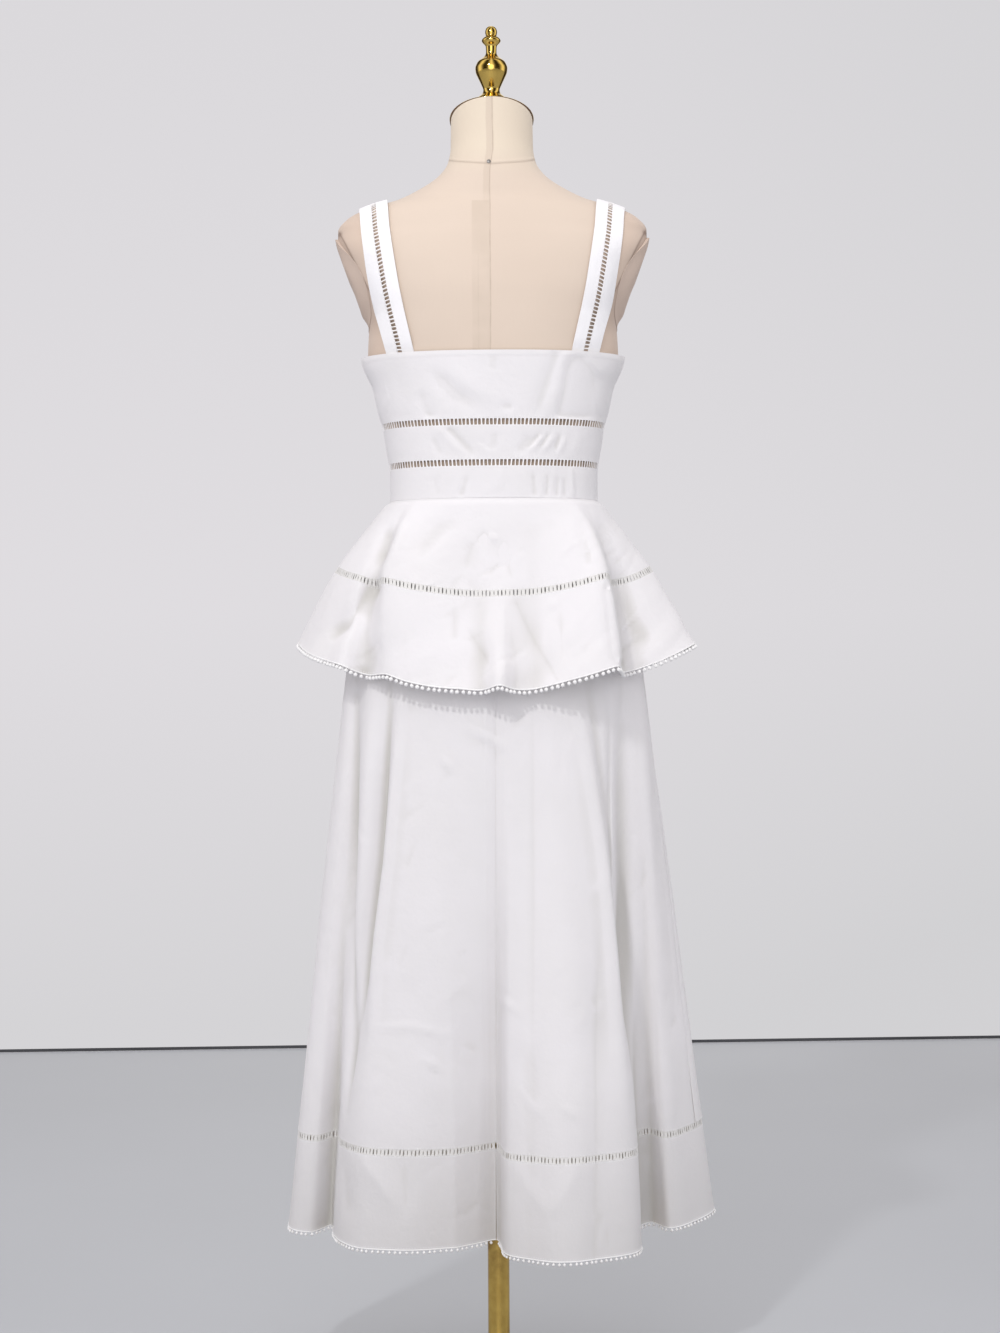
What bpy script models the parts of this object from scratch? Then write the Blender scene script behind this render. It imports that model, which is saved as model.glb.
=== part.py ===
"""Button-down midi dress with straps, ladder insertions and a two-tier peplum, on a dress form.

Metres, +Z up. The dress's back faces -Y and its buttoned front +Y, so the wearer's right is +X.
The origin is on the floor under the pole. Cloth is a thin wall whose outer side is worked out
here: fitted pieces follow the form's sections, hanging pieces follow tables of fold lines.
"""

import math
from functools import lru_cache

import bmesh
import bpy
import numpy as np
from mathutils import Vector

MM = 0.001

# Cloth
CLOTH = 1.2 * MM  # wall of every cotton piece
SEAM = 0.4 * MM  # gap that stands for a seam
LAY = 0.5 * MM  # clearance under a piece that lies on another
FIT = 3.0 * MM  # outer side of the fitted cloth, beyond the form
STRAP_LIFT = 2.7 * MM  # straps above the shoulders

# Heights of the dress's seams
BODICE_TOP = 1.229
UPPER_LADDER = 1.146
LOWER_LADDER = 1.0985
LADDER = 6.5 * MM  # height of an openwork insertion
WAIST = 1.059
HIGH_HIP = 0.955
HIP = 0.845
HEM = 0.172  # lowest line of the skirt
SKIRT_BAND = 0.119  # depth of the skirt's bottom band with its insertion
PEPLUM_TIERS = {"side": (0.1035, 0.103), "centre": (0.1155, 0.115)}  # cut depths of the two tiers
PEPLUM_STEP = 1.6 * MM  # the peplum's top edge, outside the skirt's

# Straps: how far round the shoulder, from straight back to straight front, and the middle's x
STRAP_WIDTH = 33 * MM
STRAP_LADDER = 6 * MM
STRAP_ROUTE = ((0, 0.109), (27, 0.128), (50, 0.138), (90, 0.143), (130, 0.135), (155, 0.121), (180, 0.106))
STRAP_FRONT = 1.2633  # height of the straps' front ends
STRAP_RISE = 0.09  # how far the turning middle rises inside the shoulder

# Fastening
PLACKET = 28 * MM  # width of the button band
BUTTON_RADIUS = 5.5 * MM
BUTTON_HEIGHT = 2.4 * MM
BUTTON_SHANK = 0.6 * MM  # holds a button off the hollow between the cups
BODICE_BUTTONS = (1.234, 1.196, 1.158, 1.120, 1.082)
SKIRT_BUTTONS = 8
SKIRT_BUTTON_FIRST = 0.045
SKIRT_BUTTON_PITCH = 0.098

# Bust of the form and of the cups cut to it
CUP_X, CUP_Z = 0.072, 1.196
CUP_WIDTH, CUP_HEIGHT, CUP_DEPTH = 0.048, 0.052, 0.020

# Armhole plates
PLATE_MIDDLE = 1.317
PLATE_HALF_HEIGHT = 0.056
PLATE_HALF_DEPTH = 0.050
PLATE_WALL = 3 * MM
PLATE_LIFT = 1.8 * MM  # outside the torso's rounding

# Stand
POLE_RADIUS = 13 * MM
BASE_RADIUS = 0.155
BASE_HEIGHT = 18 * MM
FORM_BOTTOM = 0.785
NECK_TOP = 1.5135
NECK_TILT = 0.4  # rise of the neck's top towards the back
CAP_RADIUS = 50.5 * MM
CAP_HEIGHT = 4 * MM
TOUCH = 0.3 * MM  # gap between hard pieces that touch

COTTON = ("cotton", (0.86, 0.84, 0.85), 0.85, 0.0)
LADDER_COTTON = ("ladder_cotton", (0.80, 0.78, 0.76), 0.85, 0.0)
LINEN = ("form_linen", (0.83, 0.73, 0.64), 0.8, 0.0)
PLATE = ("armhole_tan", (0.60, 0.48, 0.40), 0.8, 0.0)
BRASS = ("brass", (0.62, 0.43, 0.16), 0.28, 1.0)
SHELL = ("button_shell", (0.84, 0.82, 0.78), 0.3, 0.0)

# Sections of the form: height, half width, depth of the back and of the front, squareness and
# how much the section rises towards the back.
FORM_SECTIONS = (
    (0.785, 0.152, 0.090, 0.084, 2.2, 0.0),
    (0.800, 0.158, 0.095, 0.088, 2.2, 0.0),
    (0.830, 0.163, 0.099, 0.091, 2.2, 0.0),
    (0.880, 0.164, 0.100, 0.093, 2.2, 0.0),
    (0.940, 0.152, 0.096, 0.092, 2.2, 0.0),
    (1.000, 0.134, 0.090, 0.088, 2.2, 0.0),
    (1.059, 0.1213, 0.085, 0.084, 2.2, 0.0),
    (1.090, 0.1215, 0.085, 0.086, 2.25, 0.0),
    (1.120, 0.1255, 0.086, 0.092, 2.3, 0.0),
    (1.145, 0.1295, 0.088, 0.098, 2.3, 0.0),
    (1.168, 0.1360, 0.090, 0.103, 2.3, 0.0),
    (1.193, 0.1410, 0.092, 0.106, 2.3, 0.0),
    (1.229, 0.1500, 0.0945, 0.106, 2.3, 0.0),
    (1.252, 0.1490, 0.096, 0.104, 2.5, 0.0),
    (1.273, 0.1475, 0.097, 0.101, 2.7, 0.0),
    (1.300, 0.1545, 0.0975, 0.095, 2.8, 0.0),
    (1.330, 0.1675, 0.095, 0.086, 2.7, 0.0),
    (1.366, 0.1850, 0.088, 0.075, 2.4, 0.0),
    (1.382, 0.1850, 0.083, 0.069, 2.2, 0.0),
    (1.396, 0.1740, 0.078, 0.064, 2.2, 0.0),
    (1.408, 0.1500, 0.073, 0.059, 2.1, 0.0),
    (1.417, 0.1180, 0.069, 0.055, 2.0, 0.0),
    (1.430, 0.0900, 0.066, 0.052, 2.0, 0.0),
    (1.446, 0.0650, 0.0615, 0.050, 2.0, 0.05),
    (1.461, 0.0535, 0.057, 0.049, 2.0, 0.15),
    (1.480, 0.0495, 0.053, 0.048, 2.0, 0.28),
    (NECK_TOP, 0.0490, 0.0505, 0.0475, 2.0, NECK_TILT),
)

# Fold lines of the skirt, from the centre back round by the wearer's right: where each leaves
# the waist (degrees), how far it stands out at the hip and where it reaches the hem (mm).
SKIRT_COLUMNS = "line angle out hem_x hem_y".split()
SKIRT_FOLDS = (
    ("centre back seam", 0, -1, -3, -23),
    ("centre back lip", 5, 1, 11, -82),
    ("back right soft", 13, 1, 37, -104),
    ("back right swell", 23, 2, 66, -123),
    ("back right swell end", 32, 2, 93, -122),
    ("back right", 41, 1, 124, -104),
    ("back right edge", 50, 3, 165, -68),
    ("right hollow", 60, -3, 171, 40),
    ("right hollow end", 68, -1, 188, 60),
    ("right ridge", 76, 3, 209, 43),
    ("right side", 86, 2, 238, 66),
    ("right outline", 98, 3, 268, 112),
    ("right front round", 110, 2, 248, 158),
    ("right front hollow", 121, -3, 201, 138),
    ("front right edge", 133, 3, 168, 176),
    ("front right hollow", 146, -2, 118, 160),
    ("front right swell", 158, 2, 72, 183),
    ("placket right", 171, 1, 22, 175),
    ("placket left", 189, 1, -22, 175),
    ("front left swell", 202, 2, -74, 186),
    ("front left hollow", 214, -2, -119, 159),
    ("front left edge", 227, 3, -166, 178),
    ("left front hollow", 238, -3, -196, 136),
    ("left front round", 250, 2, -236, 148),
    ("left outline", 262, 3, -256, 92),
    ("left side", 273, 3, -251, 44),
    ("left ridge", 283, 2, -228, 32),
    ("left hollow", 293, -3, -205, 52),
    ("back left turn", 303, 1, -199, 10),
    ("back left edge", 313, 3, -187, -24),
    ("back left", 322, 2, -166, -52),
    ("back left swell", 332, 2, -138, -63),
    ("back left soft", 342, 1, -98, -66),
    ("back left hollow", 350, 0, -58, -53),
    ("centre back fold", 356, 0, -26, -36),
)
HIP_SIZE = (0.176, 0.109, 0.113)  # half width, back and front of the skirt at the hip
HIGH_HIP_SHARE = 0.72  # how much of the spread from waist to hip is reached at the high hip
SIDE_SEAMS = ("right side", "left outline")  # each seam lies halfway to the next line

# Fold lines of the peplum, from the left front corner round the back to the right front corner:
# where each leaves the waist (degrees), the insertion's place and the hem's (mm).
PEPLUM_COLUMNS = "line angle ladder_x ladder_y hem_x hem_y".split()
PEPLUM_FOLDS = (
    ("front left corner", -173, -22, 112, -34, 143),
    ("front left hollow", -163, -50, 109, -58, 126),
    ("front left swell", -151, -84, 108, -98, 144),
    ("side front left hollow", -138, -110, 90, -124, 111),
    ("side front left swell", -125, -143, 79, -172, 110),
    ("left front hollow", -113, -162, 51, -186, 70),
    ("left front round", -101, -182, 30, -227, 60),
    ("left corner", -89, -190, 4, -238, 32),
    ("left swell", -78, -184, -22, -222, -22),
    ("left swell end", -69, -171, -46, -197, -60),
    ("left ridge", -61, -157, -64, -178, -84),
    ("left valley", -52, -141, -70, -153, -76),
    ("back left ridge", -44, -129, -98, -127, -108),
    ("back left", -34, -100, -106, -104, -121),
    ("back left swell", -24, -71, -109, -76, -129),
    ("back left soft", -14, -42, -108, -40, -134),
    ("centre back left", -6, -18, -107, -17, -134),
    ("centre back", 0, 1, -109, 5, -153),
    ("centre back hollow", 9, 20, -109, 27, -134),
    ("back right", 18, 44, -107, 46, -127),
    ("back right swell", 27, 68, -110, 71, -137),
    ("back right swell end", 36, 97, -112, 104, -140),
    ("right fold edge", 46, 130, -106, 141, -133),
    ("right fold inside", 56, 140, -69, 151, -78),
    ("right hollow", 64, 152, -50, 169, -60),
    ("right swell", 74, 170, -36, 206, -54),
    ("right corner", 87, 187, -8, 238, -16),
    ("right front swell", 100, 185, 22, 227, 38),
    ("right front hollow", 113, 162, 50, 184, 68),
    ("side front right swell", 126, 142, 79, 170, 108),
    ("side front right hollow", 139, 109, 90, 122, 112),
    ("front right swell", 152, 83, 108, 96, 143),
    ("front right hollow", 163, 49, 109, 57, 127),
    ("front right corner", 173, 22, 112, 34, 143),
)

# The bodice's top edge in front: degrees from the centre back, and height.
FRONT_TOP = (
    (90, 1.229), (104, 1.231), (115, 1.240), (125, 1.259),
    (131, 1.2625), (147, 1.2625), (160, 1.255), (180, 1.248),
)

# Steps of the meshes
FORM_ROUND = 36
COLUMNS_PER_FOLD = 2
SKIRT_ROWS = 8
TIER_ROWS = 3
BAND_ROWS = 2
BAND_COLUMNS = 44


def skirt_station(i):
    return lambda total: (total - SKIRT_BAND) * i / SKIRT_ROWS


def band_station(i):
    return lambda total: total - (SKIRT_BAND - LADDER - SEAM) * (1 - i / BAND_ROWS)


# Distances down the skirt at which the rows of its pieces lie
SKIRT_STATIONS = [skirt_station(i) for i in range(SKIRT_ROWS + 1)]
STRIP_STATIONS = [lambda total: total - SKIRT_BAND + SEAM, lambda total: total - SKIRT_BAND + LADDER]
BAND_STATIONS = [band_station(i) for i in range(BAND_ROWS + 1)]


def slopes(stations, values):
    """Slopes of a smooth line through the values that never overshoots them."""
    step = np.diff(values, axis=0) / np.diff(stations)[:, None]
    same = step[:-1] * step[1:] > 0
    total = np.where(same, step[:-1] + step[1:], 1.0)
    inner = np.where(same, 2 * step[:-1] * step[1:] / total, 0.0)
    return np.vstack([step[:1], inner, step[-1:]])


def smooth(stations, values, at):
    """The values at one station, on the smooth line through a table's rows."""
    stations = np.asarray(stations, float)
    values = np.asarray(values, float).reshape(len(stations), -1)
    lean = slopes(stations, values)
    at = min(max(at, stations[0]), stations[-1])
    k = min(int(np.searchsorted(stations, at, side="right")) - 1, len(stations) - 2)
    width = stations[k + 1] - stations[k]
    t = (at - stations[k]) / width
    return (
        (2 * t**3 - 3 * t**2 + 1) * values[k]
        + (t**3 - 2 * t**2 + t) * width * lean[k]
        + (3 * t**2 - 2 * t**3) * values[k + 1]
        + (t**3 - t**2) * width * lean[k + 1]
    )


def through(points, at, closed):
    """A point on the rounded line through fold lines; at counts the lines."""
    count = len(points)
    k = min(int(math.floor(at)), count - 1 if closed else count - 2)
    picked = []
    for step in (-1, 0, 1, 2):
        i = k + step
        if closed:
            picked.append(points[i % count])
        elif i < 0:
            picked.append(2 * points[0] - points[1])
        elif i >= count:
            picked.append(2 * points[-1] - points[-2])
        else:
            picked.append(points[i])
    knots = [0.0]
    for a, b in zip(picked, picked[1:], strict=False):
        knots.append(knots[-1] + max(float(np.linalg.norm(b - a)), 1e-6) ** 0.5)
    t = knots[1] + (at - k) * (knots[2] - knots[1])
    level = picked
    for reach in (1, 2, 3):
        level = [
            ((knots[i + reach] - t) * level[i] + (t - knots[i]) * level[i + 1]) / (knots[i + reach] - knots[i])
            if reach < 3
            else ((knots[2] - t) * level[0] + (t - knots[1]) * level[1]) / (knots[2] - knots[1])
            for i in range(len(level) - 1)
        ]
    return level[0]


@lru_cache(maxsize=None)
def form_section(z):
    """Half width, back, front, squareness and tilt of the form at a height."""
    rows = np.array(FORM_SECTIONS)
    return smooth(rows[:, 0], rows[:, 1:], z)


def bust(x, z):
    """How far the cups stand out at a place of the front."""
    across = (abs(x) - CUP_X) / CUP_WIDTH
    up = (z - CUP_Z) / CUP_HEIGHT
    return CUP_DEPTH * math.exp(-across * across - up * up)


def form_point(angle, z, out=0.0):
    """A point of the form's surface, or out beyond it. Degrees from the centre back."""
    half, back, front, square, tilt = form_section(z)
    s, c = math.sin(math.radians(angle)), math.cos(math.radians(angle))
    x = (half + out) * math.copysign(abs(s) ** (2 / square), s)
    depth = (back if c > 0 else front) + out
    y = -depth * math.copysign(abs(c) ** (2 / square), c)
    if c < 0:
        y += bust(x, z) * (y / depth)
    return Vector((x, y, z - tilt * y))


def angle_at_x(x, z, out=0.0):
    """Degrees from the centre front at which the front's surface passes an x."""
    half, _, _, square, _ = form_section(z)
    share = min(abs(x) / (half + out), 1.0)
    return math.copysign(math.degrees(math.asin(share ** (square / 2))), x)


def shoulder_point(x, turn, out):
    """A point over the shoulder. turn runs from 0, straight back, to 180, straight front."""
    aim = Vector((0, -math.cos(math.radians(turn)), math.sin(math.radians(turn))))
    back_end = BODICE_TOP + 2 * SEAM
    start = Vector((x, 0, back_end + (STRAP_FRONT - back_end) * turn / 180 + STRAP_RISE * aim.z))
    near, far = 0.0, 0.3
    for _ in range(40):
        middle = (near + far) / 2
        p = start + aim * middle
        half, back, front, square, _ = form_section(p.z)
        depth = back if p.y < 0 else front
        if p.y > 0:
            depth += bust(x, p.z)
        if abs(p.x / half) ** square + abs(p.y / depth) ** square < 1:
            near = middle
        else:
            far = middle
    return start + aim * (near + out)


@lru_cache(maxsize=None)
def skirt_loops():
    """The fold lines' places at the waist, the hip and the hem, seen from above."""
    rows = [dict(zip(SKIRT_COLUMNS, row, strict=True)) for row in SKIRT_FOLDS]
    waist, hip, hem = [], [], []
    for row in rows:
        waist.append(np.array(form_point(row["angle"], WAIST - SEAM, FIT))[:2])
        s, c = math.sin(math.radians(row["angle"])), math.cos(math.radians(row["angle"]))
        depth = HIP_SIZE[1] if c > 0 else HIP_SIZE[2]
        out = row["out"] * MM
        hip.append(np.array(((HIP_SIZE[0] + out) * s, -(depth + out) * c)))
        hem.append(np.array((row["hem_x"], row["hem_y"])) * MM)
    return waist, hip, hem


@lru_cache(maxsize=None)
def skirt_levels(at):
    """The skirt's four levels at one place round it: waist, high hip, hip and hem."""
    w, h, b = (through(points, at, True) for points in skirt_loops())
    high = w + (h - w) * HIGH_HIP_SHARE
    length = HIP - HEM
    drop = math.sqrt(length**2 - float(np.sum((b - h) ** 2)))
    heights = (WAIST - SEAM, HIGH_HIP, HIP, HIP - drop)
    return [np.array((p[0], p[1], z)) for p, z in zip((w, high, h, b), heights, strict=True)]


@lru_cache(maxsize=None)
def peplum_loops():
    """The fold lines' places at the waist, the insertion and the hem, and their angles."""
    rows = [dict(zip(PEPLUM_COLUMNS, row, strict=True)) for row in PEPLUM_FOLDS]
    waist = [np.array(form_point(row["angle"], WAIST - SEAM, FIT + PEPLUM_STEP))[:2] for row in rows]
    ladder = [np.array((row["ladder_x"], row["ladder_y"])) * MM for row in rows]
    hem = [np.array((row["hem_x"], row["hem_y"])) * MM for row in rows]
    turn = [np.array((row["angle"], 0.0)) for row in rows]
    return waist, ladder, hem, turn


def peplum_levels(at):
    """The peplum's three levels at one place round it: waist, insertion and hem."""
    w, m, b, turn = (through(points, at, False) for points in peplum_loops())
    share = math.sin(math.radians(turn[0])) ** 2
    heights = [WAIST - 2 * SEAM]
    places = (w, m, b)
    for tier in (0, 1):
        cut = PEPLUM_TIERS["centre"][tier] * (1 - share) + PEPLUM_TIERS["side"][tier] * share
        out = float(np.sum((places[tier + 1] - places[tier]) ** 2))
        heights.append(heights[-1] - math.sqrt(max(cut**2 - out, 0.0)))
    return [np.array((p[0], p[1], z)) for p, z in zip(places, heights, strict=True)]


def hang(levels, down):
    """A point on the line from level to level, at a distance down it."""
    levels = np.array(levels)
    reach = np.concatenate([[0], np.cumsum(np.linalg.norm(np.diff(levels, axis=0), axis=1))])
    return Vector(smooth(reach, levels, down))


def length_of(levels):
    return float(np.sum(np.linalg.norm(np.diff(np.array(levels), axis=0), axis=1)))


def fold_index(table, line):
    return [row[0] for row in table].index(line)


def pulled_in(rows):
    """The rows of a panel with its two side edges drawn in by half a seam."""
    for row in rows:
        for end, inner in ((0, 1), (-1, -2)):
            row[end] = row[end] + (row[inner] - row[end]).normalized() * (SEAM / 2)
    return rows


def steps(start, end, count):
    return [start + (end - start) * i / count for i in range(count + 1)]


def finish_for(finish):
    name, colour, roughness, metallic = finish
    material = bpy.data.materials.get(name)
    if material is None:
        material = bpy.data.materials.new(name)
        material.use_nodes = True
        shader = material.node_tree.nodes["Principled BSDF"]
        shader.inputs["Base Color"].default_value = (*colour, 1.0)
        shader.inputs["Roughness"].default_value = roughness
        shader.inputs["Metallic"].default_value = metallic
    return material


def add_object(name, mesh, finish, collection):
    piece = bpy.data.objects.new(name, mesh)
    mesh.materials.append(finish_for(finish))
    mesh.shade_smooth()
    collection.objects.link(piece)
    return piece


def cloth(name, rows, finish, collection, side=-1.0):
    """A wall of cloth: rows run from the top down, each from left to right seen from outside."""
    mesh = bpy.data.meshes.new(name)
    across = len(rows[0])
    corners = [tuple(p) for row in rows for p in row]
    faces = []
    for i in range(len(rows) - 1):
        for j in range(across - 1):
            a = i * across + j
            faces.append((a, a + across, a + across + 1, a + 1))
    mesh.from_pydata(corners, [], faces)
    piece = add_object(name, mesh, finish, collection)
    solid = piece.modifiers.new("wall", "SOLIDIFY")
    solid.thickness = CLOTH
    solid.offset = side
    return piece


def turned(name, profile, finish, collection, around=32):
    """A turned shape from its outer side's radius and height, top to bottom."""
    mesh = bpy.data.meshes.new(name)
    corners = [(r, 0, z) for r, z in profile]
    mesh.from_pydata(corners, [(i, i + 1) for i in range(len(corners) - 1)], [])
    piece = add_object(name, mesh, finish, collection)
    screw = piece.modifiers.new("turn", "SCREW")
    screw.steps = around
    screw.render_steps = around
    screw.use_merge_vertices = True
    screw.merge_threshold = 0.0001
    return piece


def build_form(collection):
    """The linen torso with its neck: rings of the section table, closed at both ends."""
    heights = steps(FORM_BOTTOM, WAIST, 7) + steps(WAIST, 1.26, 7)[1:]
    heights += steps(1.26, 1.382, 8)[1:] + steps(1.382, 1.461, 7)[1:] + steps(1.461, NECK_TOP, 3)[1:]
    body = bmesh.new()
    rings = []
    for z in heights:
        ring = [body.verts.new(form_point(360 * i / FORM_ROUND, z)) for i in range(FORM_ROUND)]
        rings.append(ring)
    for low, high in zip(rings, rings[1:], strict=False):
        for i in range(FORM_ROUND):
            j = (i + 1) % FORM_ROUND
            body.faces.new((low[i], low[j], high[j], high[i]))
    body.faces.new(list(reversed(rings[0])))
    body.faces.new(rings[-1])
    mesh = bpy.data.meshes.new("form_torso")
    body.to_mesh(mesh)
    body.free()
    add_object("form_torso", mesh, LINEN, collection)


def build_armhole_plates(collection):
    """Oval pads over the arm ends, laid on the torso's sides."""
    around, rings = 20, 3
    for side, label in ((1, "right"), (-1, "left")):
        body = bmesh.new()
        levels = []
        for k in range(rings + 1):
            level = []
            for i in range(around if k else 1):
                turn = 2 * math.pi * i / around
                y = side * PLATE_HALF_DEPTH * k / rings * math.cos(turn)
                z = PLATE_MIDDLE + PLATE_HALF_HEIGHT * k / rings * math.sin(turn)
                half, back, front, square, _ = form_section(z)
                depth = back if y < 0 else front
                x = half * (1 - abs(y / depth) ** square) ** (1 / square) + PLATE_LIFT
                level.append(body.verts.new((side * x, y, z)))
            levels.append(level)
        for i in range(around):
            j = (i + 1) % around
            body.faces.new((levels[0][0], levels[1][i], levels[1][j]))
            for inner, outer in zip(levels[1:], levels[2:], strict=False):
                body.faces.new((inner[i], outer[i], outer[j], inner[j]))
        mesh = bpy.data.meshes.new(f"armhole_plate_{label}")
        body.to_mesh(mesh)
        body.free()
        piece = add_object(f"armhole_plate_{label}", mesh, PLATE, collection)
        solid = piece.modifiers.new("wall", "SOLIDIFY")
        solid.thickness = PLATE_WALL
        solid.offset = 1.0


def build_stand(collection, cutters):
    """Brass neck cap, finial, pole, foot collar and round base."""
    tilt = math.atan(NECK_TILT)
    cap = turned(
        "neck_cap",
        ((0, CAP_HEIGHT), (CAP_RADIUS - 1 * MM, CAP_HEIGHT), (CAP_RADIUS, CAP_HEIGHT - 1 * MM),
         (CAP_RADIUS, 0.8 * MM), (CAP_RADIUS - 0.8 * MM, 0), (0, 0)),
        BRASS, collection,
    )
    cap.location = (0, 0, NECK_TOP + TOUCH)
    cap.rotation_euler = (-tilt, 0, 0)

    foot = 1.500
    finial = turned(
        "finial",
        ((0, 1.6285), (4 * MM, 1.628), (6.6 * MM, 1.625), (7.4 * MM, 1.621), (6.2 * MM, 1.6165),
         (9.5 * MM, 1.6145), (12 * MM, 1.611), (9.5 * MM, 1.6075), (6.6 * MM, 1.605), (6.2 * MM, 1.595),
         (10 * MM, 1.5905), (16.5 * MM, 1.586), (19.6 * MM, 1.579), (18.8 * MM, 1.572), (13 * MM, 1.560),
         (9.4 * MM, 1.552), (11 * MM, 1.547), (17.5 * MM, 1.542), (21 * MM, 1.535), (21.5 * MM, foot), (0, foot)),
        BRASS, collection, around=20,
    )
    below = bpy.data.meshes.new("cap_plane")
    block = bmesh.new()
    bmesh.ops.create_cube(block, size=0.2)
    block.to_mesh(below)
    block.free()
    cutter = bpy.data.objects.new("cap_plane", below)
    lift = 0.1 - CAP_HEIGHT - TOUCH
    cutter.location = (0, -lift * math.sin(tilt), NECK_TOP + TOUCH - lift * math.cos(tilt))
    cutter.rotation_euler = (-tilt, 0, 0)
    cutter.hide_render = True
    cutter.display_type = "WIRE"
    cutters.objects.link(cutter)
    cut = finial.modifiers.new("seat", "BOOLEAN")
    cut.operation = "DIFFERENCE"
    cut.object = cutter

    pole_top = FORM_BOTTOM - TOUCH
    pole_foot = BASE_HEIGHT + TOUCH
    bpy.ops.mesh.primitive_cylinder_add(
        vertices=28, radius=POLE_RADIUS, depth=pole_top - pole_foot, location=(0, 0, (pole_top + pole_foot) / 2)
    )
    pole = bpy.context.object
    pole.name = "pole"
    pole.data.materials.append(finish_for(BRASS))
    pole.data.shade_smooth()
    for other in pole.users_collection:
        other.objects.unlink(pole)
    collection.objects.link(pole)

    ring = POLE_RADIUS + TOUCH
    mesh = bpy.data.meshes.new("foot_collar")
    outline = ((ring, 0.052), (18 * MM, 0.052), (20 * MM, 0.048), (22 * MM, 0.030), (34 * MM, 0.024),
               (36 * MM, BASE_HEIGHT + TOUCH), (ring, BASE_HEIGHT + TOUCH))
    count = len(outline)
    mesh.from_pydata([(r, 0, z) for r, z in outline], [(i, (i + 1) % count) for i in range(count)], [])
    collar = add_object("foot_collar", mesh, BRASS, collection)
    screw = collar.modifiers.new("turn", "SCREW")
    screw.steps = 20
    screw.render_steps = 20
    screw.use_merge_vertices = True
    screw.merge_threshold = 0.0001

    turned(
        "base",
        ((0, BASE_HEIGHT), (BASE_RADIUS - 12 * MM, BASE_HEIGHT - 3 * MM), (BASE_RADIUS - 3 * MM, BASE_HEIGHT - 6 * MM),
         (BASE_RADIUS, BASE_HEIGHT - 10 * MM), (BASE_RADIUS, 2 * MM), (BASE_RADIUS - 2 * MM, 0), (0, 0)),
        BRASS, collection, around=40,
    )


def build_straps(collection):
    """Two strips with a ladder between them, over each shoulder."""
    turns = (0, 7, 15, 24, 33, 42, 51, 60, 69, 78, 87, 96, 105, 115, 126, 138, 152, 166, 180)
    half = STRAP_WIDTH / 2
    inner = STRAP_LADDER / 2
    strips = (
        ("inner", (-half, (-half - inner) / 2, -inner - SEAM / 2), COTTON),
        ("ladder", (-inner + SEAM / 2, inner - SEAM / 2), LADDER_COTTON),
        ("outer", (inner + SEAM / 2, (half + inner) / 2, half), COTTON),
    )
    stations = [turn for turn, _ in STRAP_ROUTE]
    places = [x for _, x in STRAP_ROUTE]
    for side, label in ((1, "right"), (-1, "left")):
        for strip, across, finish in strips:
            rows = []
            for turn in reversed(turns):
                middle = float(smooth(stations, places, turn)[0])
                row = [shoulder_point(side * (middle + step), turn, STRAP_LIFT) for step in across]
                rows.append(row if side > 0 else list(reversed(row)))
            cloth(f"strap_{label}_{strip}", rows, finish, collection, side=1.0)


def bodice_rows(angles, low, tops, count):
    """Rows of fitted cloth from its top edge down; tops gives the top edge by angle."""
    return [
        [form_point(a, top + (low - top) * i / count, FIT) for a, top in zip(angles, tops, strict=True)]
        for i in range(count + 1)
    ]


def front_top(angle):
    stations = [a for a, _ in FRONT_TOP]
    heights = [z for _, z in FRONT_TOP]
    return float(smooth(stations, heights, abs(angle))[0])


def build_bodice(collection):
    """Back, two cupped fronts, two bands, two insertions and the button band."""
    half_ladder = LADDER / 2
    top_low = UPPER_LADDER + half_ladder + SEAM
    back = steps(-90, 90, 26)
    rows = bodice_rows(back, top_low, [BODICE_TOP] * len(back), 3)
    cloth("bodice_back", pulled_in(rows), COTTON, collection)
    for label, start, end in (("right", 90, 180), ("left", -180, -90)):
        angles = steps(start, end, 14)
        rows = bodice_rows(angles, top_low, [front_top(a) for a in angles], 7)
        cloth(f"bodice_front_{label}", pulled_in(rows), COTTON, collection)
    bands = (
        ("bodice_ladder_upper", UPPER_LADDER + half_ladder, UPPER_LADDER - half_ladder, 1, LADDER_COTTON),
        ("midriff_band", UPPER_LADDER - half_ladder - SEAM, LOWER_LADDER + half_ladder + SEAM, 2, COTTON),
        ("bodice_ladder_lower", LOWER_LADDER + half_ladder, LOWER_LADDER - half_ladder, 1, LADDER_COTTON),
        ("waist_band", LOWER_LADDER - half_ladder - SEAM, WAIST + SEAM, 2, COTTON),
    )
    angles = steps(-180, 180, BAND_COLUMNS)
    for name, high, low, count, finish in bands:
        rows = bodice_rows(angles, low, [high] * len(angles), count)
        cloth(name, pulled_in(rows), finish, collection)
    heights = steps(front_top(180) - SEAM, WAIST + SEAM, 15)
    across = (-PLACKET / 2, -PLACKET / 6, PLACKET / 6, PLACKET / 2)
    rows = [[form_point(180 + angle_at_x(x, z, FIT), z, FIT + LAY) for x in across] for z in heights]
    cloth("bodice_placket", rows, COTTON, collection, side=1.0)


def skirt_columns(start, end):
    return steps(start, end, int(round((end - start) * COLUMNS_PER_FOLD)))


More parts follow.
